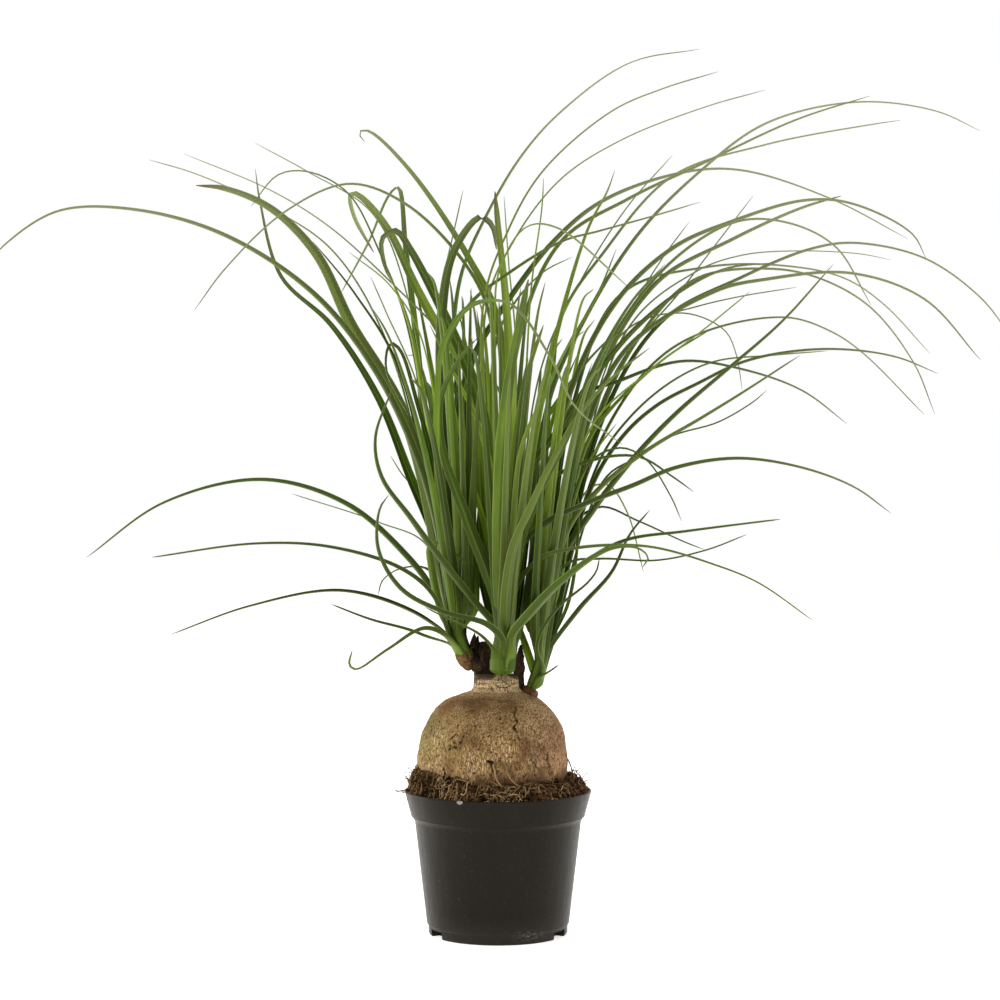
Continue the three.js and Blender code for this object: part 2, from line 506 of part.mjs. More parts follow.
// A leaf's steps, shorter where it bends
function stepsAlong(points) {
  const fine = new THREE.CatmullRomCurve3(points).getPoints(FINE_POINTS);
  const travelled = [0];
  const spent = [0];
  for (let i = 1; i < fine.length; i += 1) {
    const step = fine[i].distanceTo(fine[i - 1]);
    let bend = 0;
    if (i > 1) {
      const before = fine[i - 1].clone().sub(fine[i - 2]).normalize();
      const after = fine[i].clone().sub(fine[i - 1]).normalize();
      bend = Math.acos(clamp(before.dot(after), -1, 1));
    }
    travelled.push(travelled[i - 1] + step);
    spent.push(spent[i - 1] + step + bend * BEND_LENGTH);
  }
  const length = travelled.at(-1);
  const count = clamp(Math.round(spent.at(-1) / STEP_LENGTH), MIN_STEPS, MAX_STEPS);
  const steps = [];
  let i = 1;
  for (let k = 0; k <= count; k += 1) {
    const target = (spent.at(-1) * k) / count;
    while (i < fine.length - 1 && spent[i] < target) i += 1;
    const share = (target - spent[i - 1]) / (spent[i] - spent[i - 1]);
    const place = fine[i - 1].clone().lerp(fine[i], share);
    const fromRoot = mix(travelled[i - 1], travelled[i], share);
    steps.push({ x: place.x, y: place.y, z: place.z, fromRoot, share: fromRoot / length });
  }
  return steps;
}

const earlyPoint = (points) => points[Math.floor(points.length * EARLY_SHARE)];

// How far a leaf opens from upright, in radians
function openness(side, [, , , depth, points]) {
  const [x, z] = earlyPoint(points);
  const { foot } = HEADS[side];
  return Math.atan2(Math.hypot(x - foot[0], depth * EARLY_SHARE), z - foot[2]);
}

// A head's leaves from the upright young ones in its middle to the open old ones low on its outside
function layOutHead(side, rows) {
  const ordered = [...rows].sort((one, two) => openness(side, one) - openness(side, two));
  return ordered.map((row, rank) => layOut(side, row, (rank + 0.5) / ordered.length));
}

// Everything that one leaf needs: its steps with their depth, width, thickness and flat direction
function layOut(side, row, layer) {
  const [width, endWidth, turn, depth, points] = row;
  const { foot, lean, radius, height } = HEADS[side];
  const toSide = earlyPoint(points)[0] - foot[0];
  const heading = Math.atan2(depth * EARLY_SHARE, toSide);
  const leansBack = Math.atan2(depth * EARLY_SHARE, Math.abs(toSide));
  const rise = mix(height * YOUNG_ROOT_SHARE, OPEN_ROOT_RISE, layer);
  const reach = mix(YOUNG_ROOT_REACH, radius * OPEN_ROOT_SHARE, layer);
  const root = [0, 1, 2].map((axis) => foot[axis] + lean[axis] * rise);
  root[0] += Math.cos(heading) * reach;
  root[1] += Math.sin(heading) * reach;
  const steps = stepsAlong([new THREE.Vector3(...root), ...withDepths(row, root)]);
  const across = new THREE.Vector3(-Math.sin(heading), Math.cos(heading), 0);
  const shown = degrees(turn) * (leansBack < 0 ? -1 : 1);
  const twist = (leansBack - shown) * (toSide < 0 ? -1 : 1);
  const wideUntil = Math.min(0.9, TAPER_START + WIDE_END_DELAY * (endWidth - 1));
  for (const step of steps) {
    const { fromRoot } = step;
    const taper = clamp((step.share - wideUntil) / (1 - wideUntil), 0, 1);
    const flare = mix(ROOT_NARROWING, 1, clamp(fromRoot / ROOT_LENGTH, 0, 1));
    step.width = Math.max(MIN_WIDTH, mix(width * flare, endWidth, taper));
    step.thickness = clamp(mix(BLADE_THICKNESS, TIP_THICKNESS, taper), TIP_THICKNESS, width * 0.3 + 0.3);
    step.twist = twist * clamp(fromRoot / TWIST_LENGTH, 0, 1);
    step.loose = clamp((fromRoot - STIFF_LENGTH) / FREE_LENGTH, 0, 1);
  }
  return { side, steps, across };
}

const trueX = (step) => step.x * (1 + step.y / VIEW_DISTANCE);
const trueZ = (step) => VIEW_HEIGHT + (step.z - VIEW_HEIGHT) * (1 + step.y / VIEW_DISTANCE);
const placeOf = (step) => new THREE.Vector3(trueX(step), step.y, trueZ(step));

// The flat direction and the face normal of each step, square to the leaf's own line
function frameLeaf({ steps, across }) {
  const places = steps.map(placeOf);
  steps.forEach((step, k) => {
    const next = places[Math.min(k + 1, places.length - 1)];
    const along = next.clone().sub(places[Math.max(k - 1, 0)]).normalize();
    const flat = across.clone().addScaledVector(along, -across.dot(along)).normalize();
    step.place = places[k];
    step.flat = flat.applyAxisAngle(along, -step.twist);
    step.face = along.clone().cross(step.flat);
  });
}

// Points between the steps at which leaves are tested against each other
function checkPoints(leaf, index) {
  const checks = [];
  for (let k = 0; k + 1 < leaf.steps.length; k += 1) {
    const from = leaf.steps[k];
    const to = leaf.steps[k + 1];
    for (let part = 0; part < CHECKS_PER_STEP; part += 1) {
      const share = (part + 0.5) / CHECKS_PER_STEP;
      const width = mix(from.width, to.width, share);
      const thickness = mix(from.thickness, to.thickness, share);
      const leaning = Math.abs(mix(from.flat.y, to.flat.y, share));
      checks.push({
        leaf: index, from, to, share,
        x: mix(from.x, to.x, share),
        z: mix(from.z, to.z, share),
        fromRoot: mix(from.fromRoot, to.fromRoot, share),
        spread: Math.sqrt(Math.max(0, 1 - leaning ** 2)) * width * 0.5 + thickness,
        reach: leaning * width * 0.5 + thickness,
      });
    }
  }
  return checks;
}

const depthOf = ({ from, to, share }) => mix(from.y, to.y, share);
const looseness = ({ from, to, share }) => mix(from.loose, to.loose, share);

// Every two check points that hide each other from the front, with the depth they need between them
function findMeetings(leaves) {
  const checks = leaves.map(checkPoints);
  const meetings = [];
  for (let a = 0; a < leaves.length; a += 1) {
    for (let b = a + 1; b < leaves.length; b += 1) {
      const sameHead = leaves[a].side === leaves[b].side;
      const pairs = [];
      let balance = 0;
      for (const one of checks[a]) {
        for (const two of checks[b]) {
          const room = one.spread + two.spread + CLEARANCE;
          if (Math.hypot(one.x - two.x, one.z - two.z) >= room) continue;
          if (sameHead && Math.min(one.fromRoot, two.fromRoot) < FUSED_LENGTH) continue;
          balance += depthOf(one) - depthOf(two);
          pairs.push({ one, two, need: one.reach + two.reach + CLEARANCE });
        }
      }
      for (const pair of pairs) meetings.push({ ...pair, order: balance < 0 ? -1 : 1 });
    }
  }
  return meetings;
}

// Leaves that would cross are bent apart in depth, a little each round, and hardly at their roots
function bendClear(leaves) {
  const meetings = findMeetings(leaves);
  const allSteps = leaves.flatMap(({ steps }) => steps);
  for (let round = 0; round < CLEARING_ROUNDS; round += 1) {
    for (const step of allSteps) {
      step.push = 0;
      step.pushes = 0;
    }
    for (const { one, two, need, order } of meetings) {
      const missing = need - order * (depthOf(one) - depthOf(two));
      if (missing <= 0) continue;
      const looseOne = looseness(one) + LEAST_LOOSE;
      const looseTwo = looseness(two) + LEAST_LOOSE;
      addPush(one, (order * missing * looseOne) / (looseOne + looseTwo));
      addPush(two, (-order * missing * looseTwo) / (looseOne + looseTwo));
    }
    for (const step of allSteps) {
      if (step.pushes > 0) step.y += (step.loose * step.push) / step.pushes;
    }
    for (const { steps } of leaves) smoothDepth(steps);
  }
}

function addPush({ from, to, share }, push) {
  from.push += push * (1 - share);
  from.pushes += 1 - share;
  to.push += push * share;
  to.pushes += share;
}

function smoothDepth(steps) {
  const before = steps.map(({ y }) => y);
  for (let k = 1; k + 1 < steps.length; k += 1) {
    const gapBefore = steps[k].fromRoot - steps[k - 1].fromRoot;
    const gapAfter = steps[k + 1].fromRoot - steps[k].fromRoot;
    const straight = mix(before[k - 1], before[k + 1], gapBefore / (gapBefore + gapAfter));
    steps[k].y = mix(before[k], straight, SMOOTHING * steps[k].loose);
  }
}

// A blade with three sides: a flat upper face and a keel under its middle
function makeBlade({ steps }) {
  const corners = [];
  for (const { place, flat, face, width, thickness } of steps) {
    const lifted = place.clone().addScaledVector(face, thickness * (1 - KEEL_SHARE));
    corners.push(lifted.clone().addScaledVector(flat, width / 2));
    corners.push(lifted.clone().addScaledVector(flat, -width / 2));
    corners.push(place.clone().addScaledVector(face, -thickness * KEEL_SHARE));
  }
  const faces = [0, 2, 1];
  for (let k = 0; k + 1 < steps.length; k += 1) {
    for (let side = 0; side < 3; side += 1) {
      const a = k * 3 + side;
      const b = k * 3 + ((side + 1) % 3);
      faces.push(a, b, a + 3, b, b + 3, a + 3);
    }
  }
  const last = (steps.length - 1) * 3;
  faces.push(last, last + 1, last + 2);
  const geometry = new THREE.BufferGeometry().setFromPoints(corners);
  geometry.setIndex(faces);
  return geometry;
}

function makeHead(side, leaves) {
  const { foot, lean, radius, height } = HEADS[side];
  const core = turnedAlong([
    [0, GAP], [radius, GAP], [radius * 1.1, height * 0.3], [radius * 1.4, height * 0.75],
    [radius * 0.9, height], [0, height],
  ], CORE_SIDES, new THREE.Vector3(...foot), new THREE.Vector3(...lean));
  let head = solidOf(core);
  for (const leaf of leaves) head = joinBlade(head, makeBlade(leaf));
  return outerBody(head);
}

// Adds one blade. Where it only grazes what is there, edge along edge, it is nudged until the
// joined skin is closed
function joinBlade(head, blade) {
  for (let nudge = 0; nudge < MOST_NUDGES; nudge += 1) {
    const angle = nudge * GOLDEN_ANGLE;
    const moved = blade.clone().translate(
      Math.cos(angle) * nudge * NUDGE, Math.sin(angle) * nudge * NUDGE, nudge * NUDGE * 0.5,
    );
    const joined = head.add(solidOf(moved));
    if (isClosed(joined)) return joined;
  }
  throw new Error('a blade could not be joined');
}

const onGrid = (value) => Math.round(value / CORNER_GRID);

// True where each edge has just two faces once its corners are on the fine grid
function isClosed(solid) {
  const { vertProperties, triVerts } = solid.getMesh();
  const corners = Array.from(triVerts, (k) => vertProperties.slice(k * 3, k * 3 + 3).map(onGrid).join());
  const faces = new Map();
  for (let i = 0; i < corners.length; i += 3) {
    const [a, b, c] = corners.slice(i, i + 3);
    if (a === b || b === c || c === a) continue;
    for (const edge of [[a, b], [b, c], [c, a]]) {
      const name = edge.sort().join(' ');
      faces.set(name, (faces.get(name) ?? 0) + 1);
    }
  }
  return [...faces.values()].every((count) => count === 2);
}

// The largest skin of a joined solid, once its corners are on a fine grid and near ones are one:
// this fills the hollows that crossing blades seal between them
function outerBody(solid) {
  let body = solid;
  for (let round = 0; round < MERGE_ROUNDS; round += 1) {
    const geometry = geometryOf(body);
    const corners = geometry.attributes.position;
    corners.array.forEach((value, k) => {
      corners.array[k] = onGrid(value) * CORNER_GRID;
    });
    const skins = solidOf(geometry).decompose();
    body = skins.reduce((best, skin) => (skin.volume() > best.volume() ? skin : best));
  }
  return body;
}

const fills = fillLeaves();
const leaves = [
  ...layOutHead('left', [...LEFT_LEAVES, ...fills.left]),
  ...layOutHead('middle', [...MIDDLE_LEAVES, ...fills.middle]),
  ...layOutHead('right', [...RIGHT_LEAVES, ...fills.right]),
];
leaves.forEach(frameLeaf);
bendClear(leaves);
leaves.forEach(frameLeaf);
const leavesOf = (side) => leaves.filter((leaf) => leaf.side === side);

const palm = new THREE.Group();
palm.add(
  named('nursery_pot', makePot(), DARK_PLASTIC),
  named('potting_soil', makeSoil(), PEAT),
  named('caudex', makeCaudex(), BARK),
  named('rosette_left', makeHead('left', leavesOf('left')), LEAF_DARK),
  named('rosette_middle', makeHead('middle', leavesOf('middle')), LEAF_BRIGHT),
  named('rosette_right', makeHead('right', leavesOf('right')), LEAF_MID),
);

export default palm;
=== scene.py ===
# A ponytail palm in a nursery pot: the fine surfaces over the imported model. Metres, +Z up, and
# +Y away from the camera. Sizes that come from the model's source are in millimetres, times MM.
import itertools
import math

import bpy
import numpy as np
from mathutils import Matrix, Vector


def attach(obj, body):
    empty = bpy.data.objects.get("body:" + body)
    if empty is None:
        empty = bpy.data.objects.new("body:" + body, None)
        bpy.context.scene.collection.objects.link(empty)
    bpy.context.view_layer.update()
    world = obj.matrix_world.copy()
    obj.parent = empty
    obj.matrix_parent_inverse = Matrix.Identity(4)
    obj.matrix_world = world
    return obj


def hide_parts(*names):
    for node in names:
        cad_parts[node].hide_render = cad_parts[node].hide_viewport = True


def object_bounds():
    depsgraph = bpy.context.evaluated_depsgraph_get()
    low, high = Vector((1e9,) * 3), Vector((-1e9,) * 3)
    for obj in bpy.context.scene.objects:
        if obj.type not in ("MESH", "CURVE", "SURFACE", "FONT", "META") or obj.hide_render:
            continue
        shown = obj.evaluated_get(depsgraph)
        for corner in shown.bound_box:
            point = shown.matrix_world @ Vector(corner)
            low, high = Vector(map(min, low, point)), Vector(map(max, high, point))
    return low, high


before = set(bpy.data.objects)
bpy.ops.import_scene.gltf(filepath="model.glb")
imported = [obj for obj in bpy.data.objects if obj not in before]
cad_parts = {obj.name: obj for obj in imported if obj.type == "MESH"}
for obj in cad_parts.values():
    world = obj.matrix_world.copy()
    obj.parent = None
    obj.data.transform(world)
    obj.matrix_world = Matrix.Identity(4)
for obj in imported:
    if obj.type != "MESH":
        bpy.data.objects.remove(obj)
CAD_LOW, CAD_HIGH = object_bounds()

MM = 0.001
UP = np.array([0.0, 0.0, 1.0])

# Camera: level, straight in front, with the pot's axis a little left of the middle. Leaves are
# listed as seen from VIEW_DISTANCE and LISTED_HEIGHT.
VIEW_DISTANCE = 1450
VIEW_HEIGHT = 284.7
LISTED_HEIGHT = 285
LENS = 79.2
SENSOR_WIDTH = 36
VIEW_SHIFT = 0.002

# Pot
POT_HEIGHT = 94
RIM_RADIUS = 61.5
COLLAR_FOOT = 77
LEDGE_FOOT = 74
SHOULDER_RADIUS = 54.8
COLLAR_LOW_RADIUS = 57.3
FOOT_RADIUS = 45.6
CREASE_RADIUS = 46.7
CREASE_HEIGHT = 6
POT_WALL = 1.4
POT_FLOOR = 3
FLOOR_RECESS = 1.6
CENTRE_PAD_RADIUS = 14
NOTCH_ANGLES = [-28, 90, 208]
NOTCH_SIZE = [11, 15, 9.6]
POT_SIDES = 240
POT_EDGE_ANGLE = 38

# Soil, as rows of [radius, height]: its side and underside in the pot, its crown from the pot's
# wall to the bulb, and the hidden hollow under the bulb. A heap lies on its left.
SOIL_WALL = [[0.1, 3.4], [43.4, 3.6], [44.2, 6], [52.8, 72.6], [55.2, 78.6]]
SOIL_CROWN = [[59.3, 92], [58, 95], [54.5, 98], [50.5, 101], [44, 103]]
SOIL_HOLLOW = [[40, 103], [36, 97], [0.1, 92]]
SOIL_HEAP_RISE = 9
SOIL_HEAP_ANGLE = 187
SOIL_HEAP_EDGE = 60.2
SOIL_HEAP_SLOPE = 6
SOIL_SIDES = 400
# The lumps stand out square to the surface and upward, but not past the pot's wall and its lip
SOIL_LUMP_OUT = 0.8
SOIL_LUMP_UP = 0.4
SOIL_EDGE_RADII = [59.4, 60.9]
SOIL_EDGE_HEIGHTS = [93.8, 94.8]
CROWN_RINGS = 46
CRUMB_COUNT = 2600
CRUMB_CORNERS = 12
CRUMB_SIZES = [0.4, 1.5]
CRUMB_RADII = [45, 59.4]
CRUMB_SEED = 11
FIBRE_COUNT = 1300
FIBRE_RADII = [46.5, 60]
FIBRE_REACH = 60.6
FIBRE_STEPS = 15
FIBRE_CURL = 0.33
FIBRE_SEED = 23
ROOT_SEED = 31
ROOT_STEPS = 24
ROOT_SLOPE = 3.4 / 18
ROOT_TOP = 117
# Roots over the front of the bulb's foot, as [across, up]
ROOT_PATHS = [
    [[-3, 117], [-1, 108], [3, 101], [8, 97]],
    [[-30, 112], [-34, 106], [-38, 101]],
    [[5, 113], [9, 106], [14, 102], [22, 99]],
    [[32, 117], [35, 109], [36, 102]],
    [[-14, 111], [-17, 105], [-15, 99]],
    [[19, 110], [17, 104], [21, 98], [27, 96]],
    [[44, 118], [47, 112], [49, 105], [48, 98]],
]

# Bulb: its axis lies a little left of the pot's, and its profile is [radius, height]
CAUDEX_X = -3.3
CAUDEX_PROFILE = [
    [0, 72], [16, 72.4], [30, 78], [40, 87], [46, 97], [48.9, 107], [49.4, 115], [48.2, 123],
    [46.6, 131.5], [42.8, 139.7], [37, 147.6], [30, 153.4], [21.6, 157], [16, 160], [14.8, 164],
    [14.7, 168.6], [12, 170], [0, 170.3],
]
NECK_FOOT = 157
NECK_SHIFT = 2.2
NECK_SHIFT_HEIGHTS = [152, 160]
BULB_SIDES = 380
BULB_RINGS = 200
BULB_LOW_RINGS = 12
BULB_FINE_ABOVE = 92
PROFILE_POINTS = 900
STUB_SIDES = 110
STUB_RINGS = 64

# Heads of leaves, and the branch stubs that carry them. A tone of 0 is a light leaf, 1 a dark one.
HEADS = {
    "left": {
        "foot": [-20.5, 4, 181], "lean": [-0.34, 0.02, 0.94], "radius": 7.2, "height": 34,
        "narrow": 0.76, "slot": "leaf_dark", "tone": 0.12, "tone_spread": 0.32,
    },
    "middle": {
        "foot": [3, -15.5, 171], "lean": [0.03, -0.06, 1], "radius": 7.7, "height": 42,
        "narrow": 0.88, "slot": "leaf_bright", "tone": -0.08, "tone_spread": 0.14,
    },
    "right": {
        "foot": [22, 2, 161], "lean": [0.26, 0.03, 0.96], "radius": 6, "height": 38,
        "narrow": 0.95, "slot": "leaf_mid", "tone": 0.16, "tone_spread": 0.32,
    },
}
STUBS = {
    # The trunk's top stands in shade behind the heads: its dark bark is painted shade
    "dark": {
        "from": [-8, 7, 164], "to": [-9.3, 8.5, 190], "radii": [7.8, 5.8], "relief": 0.9,
        "finish": "dark",
    },
    "left": {
        "from": [-11, 4.2, 174], "to": [-18.5, 3.95, 180], "radii": [5.6, 4.6], "relief": 0.8,
        "finish": "dark",
    },
    "middle": {
        "from": [1.5, -7, 158], "to": [2.9, -14.6, 168], "radii": [8.2, 6.2], "relief": 0.25,
        "finish": "middle",
    },
    "right": {
        "from": [15, 2, 147], "to": [22, 1.9, 160.4], "radii": [7.4, 5.6], "relief": 0.4,
        "finish": "right",
    },
}

# Outlines of [radius, distance along it] of the old leaf base and of the dead branch behind
LEAF_BASE = [[0.1, -9.5], [1.8, -9], [3.6, -7], [5.1, -3.6], [6, 0.6], [6, 3], [5, 4.6], [0.1, 5]]
LEAF_BASE_SHIFT = [-1.2, -0.6, 0]
# The dead branch behind gets the dark bark too: its darkness there is painted shade
DEAD_BRANCH = [[0.1, -1], [4, -0.6], [4.2, 4], [3.6, 12], [3, 19], [2, 26], [0.8, 31], [0.1, 31.4]]
DEAD_BRANCH_ENDS = [[13.2, 3, 158], [15.2, 6, 188]]

# Blade shape
ROOT_NARROWING = 0.64
ROOT_LENGTH = 34
TAPER_START = 0.14
WIDE_END_DELAY = 0.2
BLADE_THICKNESS = 1.3
TIP_THICKNESS = 0.7
MIN_WIDTH = 0.9
TWIST_LENGTH = 60
STEP_LENGTH = 41
BEND_LENGTH = 48
MIN_STEPS = 4
MAX_STEPS = 12
FINE_POINTS = 160

# Clearing one leaf from the next, by moving it forward or back
CLEARANCE = 0.9
CHECKS_PER_STEP = 5
CLEARING_ROUNDS = 220
STIFF_LENGTH = 6
FREE_LENGTH = 36
FUSED_LENGTH = 22
LEAST_LOOSE = 0.02
SMOOTHING = 0.12

# Where a leaf's root lies, and the share along it at which its heading is taken
EARLY_SHARE = 0.4
OPEN_ROOT_RISE = 4
YOUNG_ROOT_SHARE = 0.6
YOUNG_ROOT_REACH = 1
OPEN_ROOT_SHARE = 1.2
DEPTH_STRETCH = 1.6

# The fine blades and the sheath with which each clasps its head
RING_SPACING = 4.6
FEWEST_RINGS = 14
SMOOTHED_RINGS = 4
ACROSS = np.linspace(-1, 1, 9)
SECTION_ACROSS = np.concatenate([ACROSS, ACROSS[-2:0:-1]])
SECTION_UNDER = np.concatenate([np.zeros(len(ACROSS)), np.ones(len(ACROSS) - 2)])
FOLD_DEPTHS = [0.26, 0.17]
FOLD_END = 0.6
FOLD_CURVE = 1.25
FOLD_MIDDLE = 0.45
KEEL_CURVE = 1.4
KEEL_DEPTH = 0.75
FACE_SHARE = 0.35
THICKEST_SHARE = 0.4
POINT_LENGTH = 0.05
POINT_LEAST = 0.04
SHEATH_LENGTH = 24
SHEATH_ANGLES = [1.05, 0.5]
SHEATH_RINGS = 5
SHEATH_FOOT = 1.5
SHEATH_START = 2
SHEATH_SWELLING = 0.96
SHEATH_SWELLING_LENGTH = 15
SHEATH_ROUNDING = [-2.2, 1.4]
SHEATH_THICKNESS = 0.35
ROOT_TONE_LENGTH = 50
LAYER_TONE = 1.1
LEAF_CREASE = 64
EDGE_ROOM = 0.1
LEAF_SEED = 77

# [widest width, end width, turn of the face to the front in degrees, depth of the tip, points].
# A point is [across, up] as seen from the front, or [across, up, depth]. The turn is how far the
# face is turned to the front from edge on: toward the side that shows by itself, or, where it is
# negative, the other one.
LEFT_LEAVES = [
    [7, 1, 52, -70, [[-39, 259], [-52, 308], [-80, 368], [-121, 420], [-180, 459], [-240, 476],
      [-290, 475], [-325, 453], [-338, 438]]],
    [8, 1, 72, 45, [[-39, 252], [-58, 300], [-79, 352], [-110, 400], [-143, 432], [-157, 482],
      [-160, 503]]],
    [8.5, 3, 82, -15, [[-60, 335], [-97, 400], [-120, 447], [-150, 477], [-180, 490], [-199, 492]]],
    [2.5, 1, 30, 75, [[-70, 380], [-110, 450], [-160, 482], [-200, 500], [-230, 509]]],
    [6.5, 2, 60, 95, [[-48, 330], [-55, 400], [-61, 450], [-66, 491], [-72, 485], [-85, 455],
      [-103, 422]]],
    [2.5, 1, 30, -35, [[-60, 400], [-78, 448], [-99, 487], [-125, 501], [-145, 499], [-163, 478]]],
    [2, 1, 20, 60, [[-60, 420], [-83, 474], [-125, 501], [-160, 520]]],
    [2, 1, 20, -70, [[-50, 390], [-71, 426], [-98, 448]]],
    [4.5, 1, 50, 10, [[-65, 370], [-94, 420], [-122, 455]]],
    [2.5, 1, 30, 55, [[-52, 356], [-74, 409], [-84, 432]]],
    [5.5, 1, -60, -85, [[-42, 304], [-53, 347], [-65, 384], [-71, 388], [-74, 372], [-59, 340]]],
    [5.5, 1, 82, -50, [[-42, 310], [-50, 357], [-60, 405], [-75, 440]]],
    [6, 1, 52, -50, [[-42, 222], [-60, 247], [-100, 282], [-155, 298], [-220, 283], [-271, 247]]],
    [4.5, 1.5, 40, -95, [[-43, 222], [-65, 240], [-112, 254], [-160, 256], [-228, 247]]],
    [4.5, 1, 36, 30, [[-35, 196], [-58, 212], [-104, 225], [-163, 215], [-216, 196]]],
    [4.5, 1, 45, -25, [[-32, 187], [-55, 198], [-84, 206], [-110, 216]]],
    [5.5, 1, 68, -75, [[-36, 196], [-49, 200], [-73, 186], [-94, 173], [-98, 176], [-96, 186]]],
    [4.5, 1, 45, 60, [[-45, 238], [-63, 240], [-76, 232], [-79, 222]]],
    [2, 1, 20, 85, [[-47, 255], [-78, 270], [-136, 289]]],
    [2.5, 1, 30, 60, [[-41, 282], [-61, 299], [-71, 314]]],
    [5.5, 1, -60, -150, [[-37, 268], [-40, 350], [-35, 389], [-16, 414], [8, 414], [34, 380],
      [52, 345], [82, 321]]],
    [8, 3, 75, -60, [[-36, 330], [-37, 410], [-29, 449], [-12, 471], [-4, 466], [-1, 450]]],
    [6.5, 2, 70, -30, [[-35, 200], [-44, 240], [-45, 255], [-40, 257], [-28, 249], [-20, 243]]],
    [8, 1, 85, 55, [[-28, 205], [-32, 255], [-36, 310], [-42, 360], [-50, 405], [-55, 430]]],
    [8, 1, 80, 95, [[-22, 210], [-20, 260], [-16, 310], [-18, 362], [-10, 400]]],
    [5.5, 1, 45, 70, [[-30, 300], [-30, 380], [-24, 433], [-7, 473], [16, 512], [42, 541], [87, 573],
      [133, 582]]],
    [7, 1, 58, 60, [[-27, 330], [-16, 378], [7, 416], [36, 454], [68, 481], [120, 500], [160, 502],
      [220, 483], [270, 457]]],
    [5.5, 1, 50, -50, [[-35, 380], [-18, 414], [7, 434], [42, 455], [67, 462], [103, 472],
      [133, 481]]],
    [5.5, 1, 70, -100, [[-36, 250], [-45, 300], [-58, 352], [-72, 392], [-82, 410]]],
    [7.5, 1, 82, 60, [[-18, 215], [-13, 250], [-10, 290], [-8, 330], [-9, 370], [-14, 410]]],
    [2, 1, 20, 20, [[-40, 390], [-35, 435], [-29, 462], [-23, 489]]],
    [6.5, 1, 80, -40, [[-17, 200], [-15, 225], [-16, 260], [-20, 300], [-24, 345], [-26, 390]]],
]

